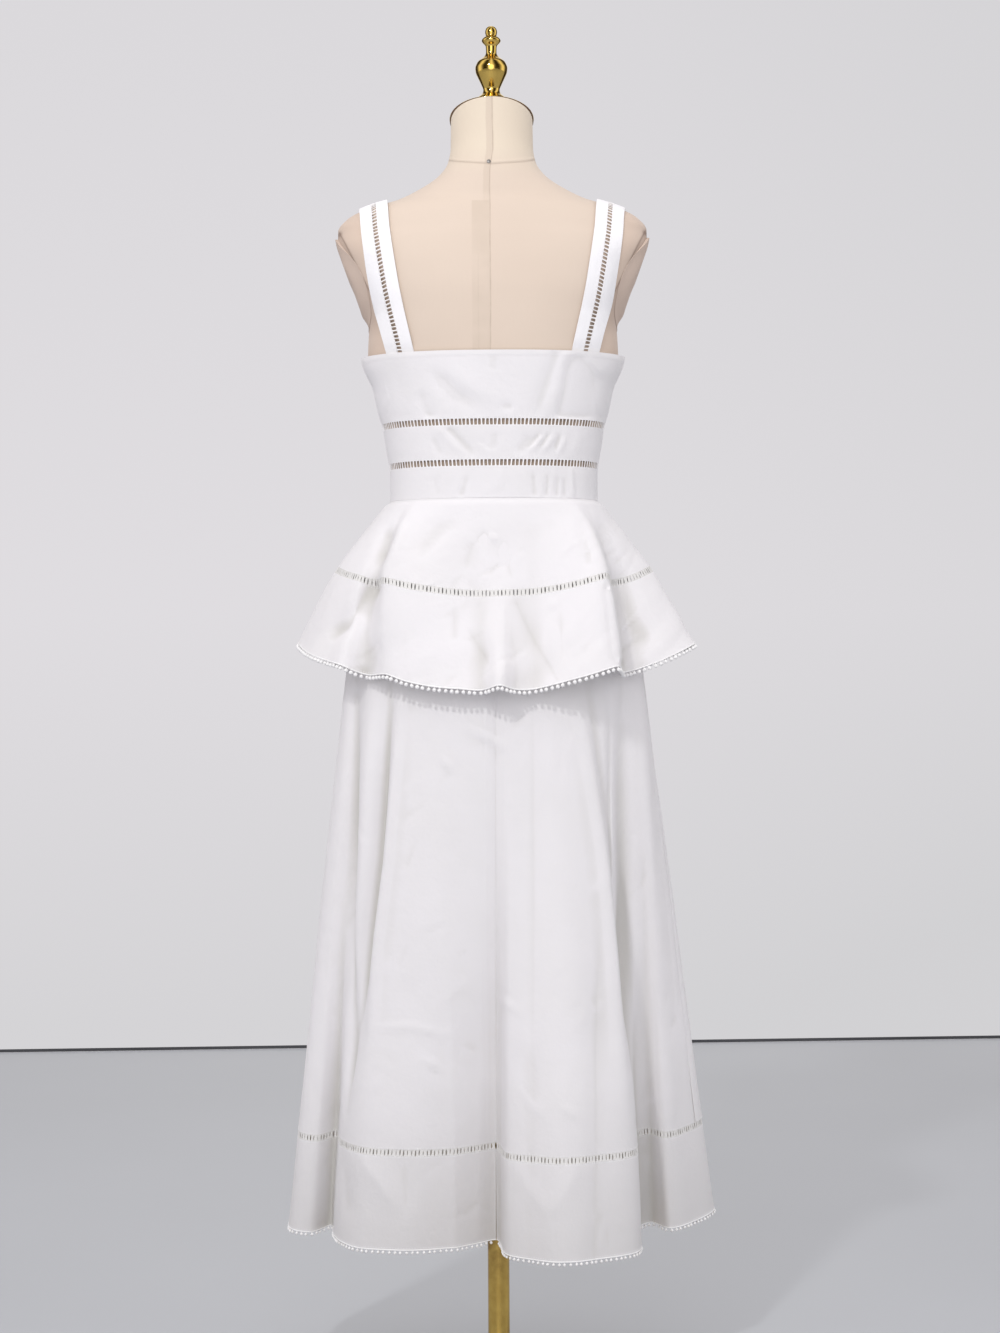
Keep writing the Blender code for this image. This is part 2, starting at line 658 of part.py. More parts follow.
def build_skirt(collection):
    """Four panels, an insertion and a bottom band in two halves, split at centre back and front."""
    count = len(SKIRT_FOLDS)
    right, left = (fold_index(SKIRT_FOLDS, line) + 0.5 for line in SIDE_SEAMS)
    front = (fold_index(SKIRT_FOLDS, "placket right") + fold_index(SKIRT_FOLDS, "placket left")) / 2
    panels = (
        ("skirt_back_right", 0, right),
        ("skirt_front_right", right, front),
        ("skirt_front_left", front, left),
        ("skirt_back_left", left, count),
    )

    def rows_between(start, end, stations):
        columns = [skirt_levels(at) for at in skirt_columns(start, end)]
        return pulled_in([[hang(levels, down(length_of(levels))) for levels in columns] for down in stations])

    for name, start, end in panels:
        cloth(name, rows_between(start, end, SKIRT_STATIONS), COTTON, collection)
    for label, start, end in (("right", 0, front), ("left", front, count)):
        cloth(f"skirt_ladder_{label}", rows_between(start, end, STRIP_STATIONS), LADDER_COTTON, collection)
        cloth(f"skirt_hem_band_{label}", rows_between(start, end, BAND_STATIONS), COTTON, collection)


def front_line(x, down):
    """The skirt's surface near the centre front, as far down as asked, at an x."""
    first = fold_index(SKIRT_FOLDS, "placket right")
    points = []
    for at in steps(first, first + 1, COLUMNS_PER_FOLD):
        levels = skirt_levels(at)
        points.append(hang(levels, down(length_of(levels))))
    xs = [-p.x for p in points]
    return Vector([float(np.interp(-x, xs, [p[i] for p in points])) for i in range(3)])


def front_frame(x, down):
    """A point of the skirt's front and its outward direction."""
    here = front_line(x, down)
    lower = front_line(x, lambda total: min(down(total) + 5 * MM, total))
    upper = front_line(x, lambda total: max(down(total) - 5 * MM, 0.0))
    out = Vector((0, 1, 0)) - (lower - upper) * (lower - upper).y / (lower - upper).length_squared
    return here, out.normalized()


def build_fastening(collection):
    """The skirt's button band and the round buttons of the bodice and the skirt."""
    across = (PLACKET / 2, PLACKET / 6, -PLACKET / 6, -PLACKET / 2)
    rows = []
    for down in SKIRT_STATIONS + BAND_STATIONS:
        row = []
        for x in across:
            here, out = front_frame(x, down)
            row.append(here + out * LAY)
        rows.append(row)
    cloth("skirt_placket", rows, COTTON, collection, side=1.0)

    seats = []
    for z in BODICE_BUTTONS:
        here = form_point(180, z, FIT + LAY + CLOTH + BUTTON_SHANK)
        lower = form_point(180, z - 5 * MM, FIT + LAY + CLOTH + BUTTON_SHANK)
        seats.append((here, (lower - here).normalized()))
    middle = [(row[1] + row[2]) / 2 for row in rows]
    reach = np.concatenate([[0], np.cumsum([(b - a).length for a, b in zip(middle, middle[1:], strict=False)])])
    for i in range(SKIRT_BUTTONS):
        distance = SKIRT_BUTTON_FIRST + SKIRT_BUTTON_PITCH * i
        k = int(np.searchsorted(reach, distance)) - 1
        step = (middle[k + 1] - middle[k]).normalized()
        seats.append((middle[k] + step * (distance - reach[k]) + step.cross(Vector((-1, 0, 0))) * CLOTH, step))
    for number, (seat, down) in enumerate(seats, 1):
        out = down.cross(Vector((-1, 0, 0)))
        bpy.ops.mesh.primitive_cylinder_add(vertices=16, radius=BUTTON_RADIUS, depth=BUTTON_HEIGHT)
        button = bpy.context.object
        button.name = f"button_{number:02d}"
        button.location = seat + out * (BUTTON_HEIGHT / 2 + TOUCH)
        button.rotation_euler = out.to_track_quat("Z", "Y").to_euler()
        button.data.materials.append(finish_for(SHELL))
        button.data.shade_smooth()
        for other in button.users_collection:
            other.objects.unlink(button)
        collection.objects.link(button)


def build_peplum(collection):
    """Two flared tiers with an insertion between, from front corner to front corner."""
    last = len(PEPLUM_FOLDS) - 1
    columns = [peplum_levels(at) for at in steps(0, last, last * COLUMNS_PER_FOLD)]
    first = [float(np.linalg.norm(levels[1] - levels[0])) for levels in columns]
    whole = [length_of(levels) for levels in columns]
    half = LADDER / 2

    def rows(start, end, count):
        out = []
        for i in range(count + 1):
            row = []
            for levels, upper, total in zip(columns, first, whole, strict=True):
                top, bottom = start(upper, total), end(upper, total)
                row.append(hang(levels, top + (bottom - top) * i / count))
            out.append(row)
        return out

    upper_rows = rows(lambda upper, total: 0.0, lambda upper, total: upper - half - SEAM, TIER_ROWS)
    strip_rows = rows(lambda upper, total: upper - half, lambda upper, total: upper + half, 1)
    lower_rows = rows(lambda upper, total: upper + half + SEAM, lambda upper, total: total, TIER_ROWS)
    cloth("peplum_upper", upper_rows, COTTON, collection)
    cloth("peplum_ladder", strip_rows, LADDER_COTTON, collection)
    cloth("peplum_lower", lower_rows, COTTON, collection)


def main():
    for piece in list(bpy.data.objects):
        bpy.data.objects.remove(piece)
    collection = bpy.data.collections.new("button_down_midi_dress")
    cutters = bpy.data.collections.new("cutters")
    bpy.context.scene.collection.children.link(collection)
    bpy.context.scene.collection.children.link(cutters)
    build_form(collection)
    build_armhole_plates(collection)
    build_stand(collection, cutters)
    build_straps(collection)
    build_bodice(collection)
    build_skirt(collection)
    build_peplum(collection)
    build_fastening(collection)


main()
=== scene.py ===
"""Looks of a button-down midi dress on its dress form, as a Blender add-on that is run as a script.

Metres, +Z up. The dress's back faces -Y and its buttoned front +Y, so the wearer's right is +X.
Every cloth piece is a thin wall on a grid of points. Fitted pieces follow the form's sections,
hanging pieces follow the fold lines of the part's source, and creases are placed one by one.
"""

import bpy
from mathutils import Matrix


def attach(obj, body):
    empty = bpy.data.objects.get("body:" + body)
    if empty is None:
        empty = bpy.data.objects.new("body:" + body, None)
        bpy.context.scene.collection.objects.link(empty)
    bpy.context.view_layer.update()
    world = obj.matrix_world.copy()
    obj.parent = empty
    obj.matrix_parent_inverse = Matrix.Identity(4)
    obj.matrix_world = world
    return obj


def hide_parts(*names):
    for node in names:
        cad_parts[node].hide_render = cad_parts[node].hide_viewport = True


bl_info = {
    "name": "Button-down midi dress on a dress form",
    "version": (1, 0, 0),
    "blender": (4, 5, 0),
    "location": "View3D > Sidebar > Dress",
    "description": "Builds a cotton midi dress with openwork insertions, bobble trim and buttons",
    "category": "Object",
}

import math
from functools import lru_cache

import bmesh
import bpy
import numpy as np
from mathutils import Matrix, Vector

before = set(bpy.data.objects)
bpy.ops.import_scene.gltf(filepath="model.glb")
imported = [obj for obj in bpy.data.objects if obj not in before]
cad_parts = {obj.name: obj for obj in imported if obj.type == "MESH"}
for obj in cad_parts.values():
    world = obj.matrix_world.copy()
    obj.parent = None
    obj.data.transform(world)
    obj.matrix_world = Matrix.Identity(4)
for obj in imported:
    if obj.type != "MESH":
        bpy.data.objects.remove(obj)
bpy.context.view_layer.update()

MM = 0.001

# Seams and sizes shared with the solids
SEAM = 0.4 * MM
TIGHT = 0.05 * MM  # gap left at a sewn seam here
WAIST_LAP = 1.5 * MM  # how far the waist band laps over the peplum's and the skirt's top edges
LAY = 0.5 * MM
FIT = 3.0 * MM
STRAP_LIFT = 2.7 * MM
BODICE_TOP = 1.229
UPPER_LADDER = 1.146
LOWER_LADDER = 1.0985
LADDER = 6.5 * MM
WAIST = 1.059
HIGH_HIP = 0.955
HIP = 0.845
HEM = 0.172
SKIRT_BAND = 0.119
PEPLUM_TIERS = {"side": (0.1035, 0.103), "centre": (0.1155, 0.115)}
PEPLUM_STEP = 1.6 * MM
OPENING = 8.2 * MM  # the insertions' height between the cloths' edges
STRAP_WIDTH = 33 * MM
STRAP_LADDER = 6 * MM
STRAP_ROUTE = ((0, 0.109), (27, 0.128), (50, 0.138), (90, 0.143), (130, 0.135), (155, 0.121), (180, 0.106))
STRAP_FRONT = 1.2633
STRAP_RISE = 0.09
PLACKET = 28 * MM
CUP_X = 0.072
CUP_Z = 1.196
CUP_WIDTH = 0.048
CUP_HEIGHT = 0.052
CUP_DEPTH = 0.020
PLATE_MIDDLE = 1.317
PLATE_HALF_HEIGHT = 0.056
PLATE_HALF_DEPTH = 0.050
POLE_RADIUS = 13 * MM
BASE_RADIUS = 0.155
BASE_HEIGHT = 18 * MM
FORM_BOTTOM = 0.785
NECK_TOP = 1.5135
NECK_TILT = 0.4
CAP_RADIUS = 50.5 * MM
CAP_HEIGHT = 4 * MM
TOUCH = 0.3 * MM
BUTTONS = 13

# Turned profiles of the stand: radius and height, from the top down
STAND_PROFILES = {
    "finial": (
        (0, 1.6285), (4 * MM, 1.628), (6.6 * MM, 1.625), (7.4 * MM, 1.621), (6.2 * MM, 1.6165),
        (9.5 * MM, 1.6145), (12 * MM, 1.611), (9.5 * MM, 1.6075), (6.6 * MM, 1.605), (6.2 * MM, 1.595),
        (10 * MM, 1.5905), (16.5 * MM, 1.586), (19.6 * MM, 1.579), (18.8 * MM, 1.572), (13 * MM, 1.560),
        (9.4 * MM, 1.552), (11 * MM, 1.547), (17.5 * MM, 1.542), (21 * MM, 1.535), (21.5 * MM, 1.522),
        (21.5 * MM, 1.500),
    ),
    "foot_collar": (
        (POLE_RADIUS + TOUCH, 0.052), (18 * MM, 0.052), (20 * MM, 0.048), (22 * MM, 0.030),
        (34 * MM, 0.024), (36 * MM, BASE_HEIGHT + TOUCH), (POLE_RADIUS + TOUCH, BASE_HEIGHT + TOUCH),
    ),
    "base": (
        (0, BASE_HEIGHT), (BASE_RADIUS - 12 * MM, BASE_HEIGHT - 3 * MM),
        (BASE_RADIUS - 3 * MM, BASE_HEIGHT - 6 * MM), (BASE_RADIUS, BASE_HEIGHT - 10 * MM),
        (BASE_RADIUS, 2 * MM), (BASE_RADIUS - 2 * MM, 0), (0, 0),
    ),
    "pole": (
        (0, FORM_BOTTOM - TOUCH), (POLE_RADIUS, FORM_BOTTOM - TOUCH),
        (POLE_RADIUS, BASE_HEIGHT + TOUCH), (0, BASE_HEIGHT + TOUCH),
    ),
}

# Walls, edges and flat cuts of the cloth
SIDES = ("left", "right")
SHARP = math.radians(48)  # edges that turn more than this are shaded sharp
PLACKET_WALL = 0.9 * MM
STRAP_WALL = 0.8 * MM
BODICE_CUTS = {
    "bodice_back": (0.40, 0.08),
    "bodice_front_left": (0.22, 0.101),
    "bodice_front_right": (0.22, 0.101),
    "midriff_band": (0.72, 0.041),
    "waist_band": (0.69, 0.036),
}

# Small creases of each kind of cloth: how many, and the finest one's half width in mm
SMALL_CREASES = {"fitted": (26, 2.4), "skirt": (70, 4.0), "band": (30, 4.0), "peplum": (70, 2.8)}
# Slow waves of each kind of cloth: height and pitch. The skirt's waves grow towards the hem.
SLOW_WAVES = {"fitted": (0.35 * MM, 14 * MM), "peplum": (0.9 * MM, 19 * MM), "strap": (0.18 * MM, 7 * MM)}
SKIRT_WAVE = (0.4 * MM, 0.8 * MM, 26 * MM)  # height above, what it gains below, and pitch
DEEPEST = 1.8 * MM  # no crease of a fitted piece goes deeper into the form
TOP_FOLD = (6.5 * MM, 5.5 * MM)  # where the bodice's turned-in top edge ends
TURNED_IN = 0.35 * MM  # how much a turned-in edge or a seam's allowance lifts the cloth
ALLOWANCE = (14 * MM, 11 * MM)  # where the allowance of a skirt seam ends
SEAM_DIP = (0.9 * MM, 2.4 * MM)  # depth and width of a skirt seam
BODICE_CORNER = 4.5 * MM  # how far the bodice's top corners stand out beside the arms
SKIRT_TUCK = 1.95 * MM  # how far the skirt's top lies inside the peplum's
PEPLUM_TUCK = 2.6 * MM  # how far the peplum's top lies inside the waist band

# The form and its cap
FINE_ABOVE = 1.25  # the form's rings are closer above this height
PAD_FACE = 0.149  # how far out the pads' flat faces are at PAD_LOW
PAD_LOW = 1.258
PAD_LEAN = 0.357
PAD_SWELL = 8 * MM
PAD_RIM = 13  # rings of a pad inside its darker edge
PIN_HEIGHT = 1.4505
FELT = 2.7 * MM  # thickness of the felt under the cap

# Openwork insertions: the sewn edges above and below, and the bars between them
RAIL = 0.5 * MM
RAIL_SWELL = 0.1 * MM
RAIL_WALL = 0.7 * MM
LADDER_END = 0.2 * MM
BAR_STATIONS = np.array((0.0, 0.2, 0.5, 0.8, 1.0))
BAR_SWELL = np.array((1.5, 1.08, 1.0, 1.08, 1.5))
BAR_SUNK = 0.35 * MM
BAR_DEPTH = 0.38 * MM
HANGING_FULLNESS = 2.4  # how much wider the bars of the peplum and the skirt are

# Bobble trim
BRAID_DEPTH = 0.75 * MM
BRAID_HEIGHT = 0.9 * MM
BOBBLE_THREAD = 1.7 * MM
BOBBLE_THREAD_HALF = 0.32 * MM

# Stitching: a stitch's rise and half thickness, and how far inside an edge its rows lie
ROW_END = 1.5 * MM
STITCH_RISE = np.array((-0.12, 0.12, -0.12)) * MM
STITCH_HALF = np.array((0.14, 0.26, 0.14)) * MM
SEAM_ROW = 1.6 * MM
TOP_ROW = 5.5 * MM
HEM_ROW = 2.2 * MM
STRAP_ROW = 1.4 * MM

# Buttons, their four holes and threads, and the buttonholes' half width and height
BUTTON_AROUND = 48
BUTTON_FACE = 1.25 * MM
BUTTON_RIM = 0.75 * MM
BUTTON_BEVEL = 0.95 * MM
BUTTON_BACK = ((1.0, -0.4 * MM), (0.86, -1.2 * MM), (0.02, -1.2 * MM))  # share of the radius, height
HOLE_PLACE = 1.15 * MM
HOLE_RADIUS = 0.62 * MM
HOLE_DEPTH = 1.0 * MM
HOLE_SLIT = (1.1 * MM, 7.4 * MM)
BUTTON_THREAD = 0.28 * MM
THREAD_LOW = 0.7 * MM
THREAD_HIGH = 1.55 * MM

# Places and colours of the finishes
WEAVE = 0.55 * MM
BUMP_DEPTH = 1 * MM
# painted shade towards the hem, where less light falls
LOW_CLOTH_SHADE = (0.38, 0.17)  # heights between which the cloth darkens towards the hem
BACK_SEAM = 2.4 * MM
NECK_SEAM = 1.4648
SHOULDER_TIP = 1.3765
FELT_BROWNS = ((0.10, 0.055, 0.03), (0.17, 0.10, 0.06))
STEEL_GREYS = ((0.36, 0.34, 0.33), (0.25, 0.24, 0.24))
SHELL_BAND = (0.62, 0.60, 0.57)
# painted shade in a button's thread holes
SHELL_HOLE_SHADE = (0.16, 0.14, 0.13)
# greys of the painted shadow line at the floor's far end
SHADOW_LINE_GREYS = ((0.03, 0.03, 0.035), (0.10, 0.10, 0.11))
MIRRORED_ROOM = ((0.035, 0.026, 0.014), (1.25, 1.2, 1.1))

# The stage; each light's place, aim and size
FLOOR_REACH = 12.0
FLOOR_LEVEL = -0.5 * MM
# height of the painted shadow line at the floor's far end
SHADOW_LINE_HEIGHT = 7 * MM
KEY_LIGHT = ((-0.9, -2.75, 3.0), (0.0, 0.0, 1.0), 0.2)
FILL_LIGHT = ((-0.1, -2.9, 1.7), (0.0, 0.0, 0.9), 2.2)
LENS = 72.0
SENSOR = 36.0

# Sections of the form: height, half width, depth of the back and of the front, squareness and
# how much the section rises towards the back.
FORM_SECTIONS = (
    (0.785, 0.152, 0.090, 0.084, 2.2, 0.0),
    (0.800, 0.158, 0.095, 0.088, 2.2, 0.0),
    (0.830, 0.163, 0.099, 0.091, 2.2, 0.0),
    (0.880, 0.164, 0.100, 0.093, 2.2, 0.0),
    (0.940, 0.152, 0.096, 0.092, 2.2, 0.0),
    (1.000, 0.134, 0.090, 0.088, 2.2, 0.0),
    (1.059, 0.1213, 0.085, 0.084, 2.2, 0.0),
    (1.090, 0.1215, 0.085, 0.086, 2.25, 0.0),
    (1.120, 0.1255, 0.086, 0.092, 2.3, 0.0),
    (1.145, 0.1295, 0.088, 0.098, 2.3, 0.0),
    (1.168, 0.1360, 0.090, 0.103, 2.3, 0.0),
    (1.193, 0.1410, 0.092, 0.106, 2.3, 0.0),
    (1.229, 0.1500, 0.0945, 0.106, 2.3, 0.0),
    (1.252, 0.1490, 0.096, 0.104, 2.5, 0.0),
    (1.273, 0.1475, 0.097, 0.101, 2.7, 0.0),
    (1.300, 0.1545, 0.0975, 0.095, 2.8, 0.0),
    (1.330, 0.1675, 0.095, 0.086, 2.7, 0.0),
    (1.366, 0.1850, 0.088, 0.075, 2.4, 0.0),
    (1.382, 0.1850, 0.083, 0.069, 2.2, 0.0),
    (1.396, 0.1740, 0.078, 0.064, 2.2, 0.0),
    (1.408, 0.1500, 0.073, 0.059, 2.1, 0.0),
    (1.417, 0.1180, 0.069, 0.055, 2.0, 0.0),
    (1.430, 0.0900, 0.066, 0.052, 2.0, 0.0),
    (1.446, 0.0650, 0.0615, 0.050, 2.0, 0.05),
    (1.461, 0.0535, 0.057, 0.049, 2.0, 0.15),
    (1.480, 0.0495, 0.053, 0.048, 2.0, 0.28),
    (NECK_TOP, 0.0490, 0.0505, 0.0475, 2.0, NECK_TILT),
)

# Fold lines of the skirt, from the centre back round by the wearer's right: where each leaves
# the waist (degrees), how far it stands out at the hip and where it reaches the hem (mm).
SKIRT_FOLDS = (
    ("centre back seam", 0, -1, -3, -23),
    ("centre back lip", 5, 1, 11, -82),
    ("back right soft", 13, 1, 37, -104),
    ("back right swell", 23, 2, 66, -123),
    ("back right swell end", 32, 2, 93, -122),
    ("back right", 41, 1, 124, -104),
    ("back right edge", 50, 3, 165, -68),
    ("right hollow", 60, -3, 171, 40),
    ("right hollow end", 68, -1, 188, 60),
    ("right ridge", 76, 3, 209, 43),
    ("right side", 86, 2, 238, 66),
    ("right outline", 98, 3, 268, 112),
    ("right front round", 110, 2, 248, 158),
    ("right front hollow", 121, -3, 201, 138),
    ("front right edge", 133, 3, 168, 176),
    ("front right hollow", 146, -2, 118, 160),
    ("front right swell", 158, 2, 72, 183),
    ("placket right", 171, 1, 22, 175),
    ("placket left", 189, 1, -22, 175),
    ("front left swell", 202, 2, -74, 186),
    ("front left hollow", 214, -2, -119, 159),
    ("front left edge", 227, 3, -166, 178),
    ("left front hollow", 238, -3, -196, 136),
    ("left front round", 250, 2, -236, 148),
    ("left outline", 262, 3, -256, 92),
    ("left side", 273, 3, -251, 44),
    ("left ridge", 283, 2, -228, 32),
    ("left hollow", 293, -3, -205, 52),
    ("back left turn", 303, 1, -199, 10),
    ("back left edge", 313, 3, -187, -24),
    ("back left", 322, 2, -166, -52),
    ("back left swell", 332, 2, -138, -63),
    ("back left soft", 342, 1, -98, -66),
    ("back left hollow", 350, 0, -58, -53),
    ("centre back fold", 356, 0, -26, -36),
)
HIP_SIZE = (0.176, 0.109, 0.113)
HIGH_HIP_SHARE = 0.72
SIDE_SEAMS = ("right side", "left outline")

# Fold lines of the peplum, from the left front corner round the back to the right front corner:
# where each leaves the waist (degrees), the insertion's place and the hem's (mm).
PEPLUM_FOLDS = (
    ("front left corner", -173, -22, 112, -34, 143),
    ("front left hollow", -163, -50, 109, -58, 126),
    ("front left swell", -151, -84, 108, -98, 144),
    ("side front left hollow", -138, -110, 90, -124, 111),
    ("side front left swell", -125, -143, 79, -172, 110),
    ("left front hollow", -113, -162, 51, -186, 70),
    ("left front round", -101, -182, 30, -227, 60),
    ("left corner", -89, -190, 4, -238, 32),
    ("left swell", -78, -184, -22, -222, -22),
    ("left swell end", -69, -171, -46, -197, -60),
    ("left ridge", -61, -157, -64, -178, -84),
    ("left valley", -52, -141, -70, -153, -76),
    ("back left ridge", -44, -129, -98, -127, -108),
    ("back left", -34, -100, -106, -104, -121),
    ("back left swell", -24, -71, -109, -76, -129),
    ("back left soft", -14, -42, -108, -40, -134),
    ("centre back left", -6, -18, -107, -17, -134),
    ("centre back", 0, 1, -109, 5, -153),
    ("centre back hollow", 9, 20, -109, 27, -134),
    ("back right", 18, 44, -107, 46, -127),
    ("back right swell", 27, 68, -110, 71, -137),
    ("back right swell end", 36, 97, -112, 104, -140),
    ("right fold edge", 46, 130, -106, 141, -133),
    ("right fold inside", 56, 140, -69, 151, -78),
    ("right hollow", 64, 152, -50, 169, -60),
    ("right swell", 74, 170, -36, 206, -54),
    ("right corner", 87, 187, -8, 238, -16),
    ("right front swell", 100, 185, 22, 227, 38),
    ("right front hollow", 113, 162, 50, 184, 68),
    ("side front right swell", 126, 142, 79, 170, 108),
    ("side front right hollow", 139, 109, 90, 122, 112),
    ("front right swell", 152, 83, 108, 96, 143),
    ("front right hollow", 163, 49, 109, 57, 127),
    ("front right corner", 173, 22, 112, 34, 143),
)

# The bodice's top edge in front: degrees from the centre back, and height.
FRONT_TOP = (
    (90, 1.229), (104, 1.231), (115, 1.240), (125, 1.259),
    (131, 1.2625), (147, 1.2625), (160, 1.255), (180, 1.248),
)

# Creases pressed into the cloth. Each row: its kind, which ends fade, half width and height in mm,
# and its route. On the back pieces the route's places are x and height in mm, seen from behind.
# Crests and notches are sharp ridges and valleys, as of ironed cloth. A fold has a ridge along one
# side of its route and a valley along the other.
BACK_TOP_CREASES = (
    ("valley", "both", 11, 2.0, ((-78, 1212), (-45, 1178), (-8, 1163))),
    ("ridge", "both", 12, 1.4, ((-60, 1215), (-25, 1182), (12, 1168))),
    ("valley", "start", 9, 1.5, ((-88, 1186), (-75, 1152))),
    ("fold", "end", 9, 1.9, ((80, 1226), (69, 1190), (54, 1150))),
    ("ridge", "start", 6, 1.0, ((83, 1196), (68, 1152))),
    ("valley", "start", 20, 4.0, ((106, 1228), (99, 1188), (94, 1152))),
    ("ridge", "both", 6, 1.4, ((108, 1224), (133, 1200))),
    ("valley", "both", 5, 1.2, ((8, 1163), (24, 1163))),
    ("valley", "both", 9, 0.9, ((-112, 1222), (-106, 1160))),
    ("valley", "both", 5, 0.7, ((0, 1224), (0, 1203))),
)
MIDRIFF_CREASES = (
    ("valley", "end", 5, 1.5, ((-51, 1137), (-20, 1106))),
    ("ridge", "end", 5, 1.0, ((-62, 1137), (-36, 1106))),
    ("valley", "both", 5, 1.0, ((-74, 1132), (-60, 1106))),
    ("valley", "both", 6, 1.4, ((46, 1132), (26, 1108))),
    ("fold", "both", 4, 2.2, ((59, 1133), (40, 1112))),
    ("fold", "both", 4, 2.2, ((69, 1133), (55, 1112))),
    ("fold", "both", 4, 2.0, ((82, 1132), (74, 1110))),
    ("valley", "both", 6, 0.9, ((2, 1136), (-1, 1112))),
    ("ridge", "both", 6, 0.9, ((100, 1136), (96, 1108))),
)
WAIST_CREASES = (
    ("valley", "start", 4, 1.0, ((-30, 1086), (-38, 1060))),
    ("ridge", "start", 4, 0.7, ((10, 1092), (6, 1070))),
    ("valley", "start", 4, 1.3, ((46, 1090), (48, 1060))),
    ("valley", "start", 3, 1.3, ((64, 1088), (62, 1060))),
    ("valley", "start", 3, 1.3, ((76, 1085), (74, 1060))),
    ("ridge", "none", 3, 1.4, ((91, 1092), (93, 1060))),
    ("valley", "start", 3, 1.1, ((83, 1083), (83, 1060))),
    ("valley", "start", 5, 0.7, ((-70, 1086), (-66, 1060))),
)
PEPLUM_CREASES = (
    ("ridge", "both", 7, 2.2, ((-106, 1040), (-110, 1012), (-120, 975))),
    ("valley", "both", 8, 4.0, ((-123, 1034), (-128, 1010), (-138, 976))),
    ("valley", "both", 13, 2.6, ((-38, 1046), (-62, 1024), (-80, 1001), (-88, 978))),
    ("ridge", "both", 4, 1.7, ((-6, 1014), (4, 1006))),
    ("valley", "both", 6, 1.3, ((-20, 1004), (-8, 1019))),
    ("notch", "both", 8, 1.8, ((14, 1009), (12, 990), (22, 958))),
    ("notch", "both", 9, 1.3, ((-24, 1008), (-34, 972))),
    ("fold", "both", 9, 2.4, ((106, 1044), (117, 985), (123, 966))),
    ("ridge", "both", 4, 1.1, ((71, 938), (64, 925))),
    ("valley", "end", 10, 7.0, ((-146, 952), (-160, 930), (-177, 911), (-199, 893))),
    ("ridge", "start", 9, 3.0, ((-148, 925), (-152, 866))),
    ("ridge", "both", 9, 2.0, ((-134, 944), (-139, 910), (-136, 876))),
    ("notch", "start", 9, 1.4, ((-46, 936), (-46, 896))),
    ("notch", "both", 10, 1.7, ((-32, 906), (-4, 858))),
    ("crest", "none", 13, 2.6, ((11, 936), (10, 852))),
    ("notch", "none", 13, 2.6, ((26, 934), (48, 885), (71, 845))),
    ("notch", "both", 9, 1.6, ((77, 926), (77, 862))),
    ("valley", "end", 15, 4.6, ((148, 952), (164, 915), (190, 880))),
    ("fold", "none", 6, 3.0, ((134, 946), (141, 872))),
)
SKIRT_CREASES = (
    (
        "fold", "both", 10, 6.5,
        ((-115, 852), (-117, 810), (-135, 630), (-147, 542), (-155, 432), (-165, 377)),
    ),
    ("valley", "both", 7, 9.0, ((-125, 852), (-125, 812), (-141, 630), (-170, 432), (-185, 330))),
    ("ridge", "both", 9, 5.0, ((-145, 852), (-145, 812), (-156, 630), (-172, 470))),
    ("valley", "both", 6, 9.5, ((-166, 852), (-166, 812), (-171, 630), (-177, 432), (-181, 330))),
    ("fold", "both", 12, -8.0, ((99, 855), (111, 787), (132, 650), (148, 513), (160, 330))),
    ("valley", "both", 13, 13.0, ((138, 852), (141, 780), (150, 650), (157, 500), (163, 390))),
    ("ridge", "both", 12, 4.0, ((160, 850), (186, 650), (205, 500), (215, 400))),
    ("crest", "both", 4, 2.6, ((-34, 789), (-8, 777), (16, 764))),
    ("crest", "start", 16, 2.6, ((-58, 560), (-53, 420), (-52, 282))),
    ("notch", "start", 16, 2.6, ((119, 540), (116, 400), (115, 282))),
    ("crest", "both", 4, 1.5, ((-150, 436), (-100, 440), (-46, 427))),
    ("crest", "both", 4, 1.5, ((-92, 404), (-60, 386))),
    ("crest", "both", 4, 1.6, ((4, 472), (30, 456))),
    ("crest", "both", 5, 0.8, ((58, 332), (20, 372))),
    ("crest", "both", 4, 1.4, ((70, 352), (98, 336))),
    ("notch", "both", 7, 0.8, ((-106, 620), (-92, 662))),
    ("valley", "both", 14, 1.0, ((55, 760), (62, 560), (66, 400))),
    ("ridge", "both", 18, 1.0, ((-78, 700), (-84, 500), (-88, 320))),
    ("crest", "both", 4, 2.0, ((-66, 754), (-48, 741))),
    ("valley", "both", 22, 0.7, ((20, 420), (64, 352))),
    ("ridge", "both", 20, 1.2, ((-100, 410), (-60, 345))),
)
HEM_BAND_CREASES = (
    ("crest", "both", 14, 2.8, ((-168, 290), (-140, 255), (-112, 216))),
    ("notch", "both", 12, 2.0, ((-109, 288), (-109, 212))),
    ("crest", "none", 16, 2.6, ((-52, 300), (-51, 168))),
    ("crest", "both", 10, 1.5, ((16, 284), (38, 250), (60, 220))),
    ("crest", "both", 12, 1.8, ((98, 292), (78, 252), (58, 220))),
    ("notch", "none", 16, 2.6, ((115, 300), (113, 168))),
    ("valley", "both", 12, 2.6, ((-190, 280), (-176, 200))),
    ("ridge", "both", 10, 2.4, ((190, 280), (204, 200))),
)
# On the hidden front pieces the places are distances along and down the piece, in mm.
FRONT_PIECE_CREASES = (
    ("valley", "both", 10, 0.9, ((30, 30), (70, 82))),
    ("ridge", "both", 9, 0.8, ((52, 20), (92, 84))),
    ("valley", "end", 7, 0.8, ((150, 96), (128, 112))),
    ("valley", "both", 8, 0.7, ((178, 30), (160, 80))),
)
FRONT_SKIRT_CREASES = (
    ("valley", "both", 16, 1.8, ((90, 160), (110, 420))),
    ("ridge", "both", 18, 1.8, ((150, 220), (186, 600))),
    ("valley", "both", 14, 1.4, ((220, 140), (250, 380))),
    ("valley", "both", 8, 1.0, ((120, 120), (150, 138))),
)


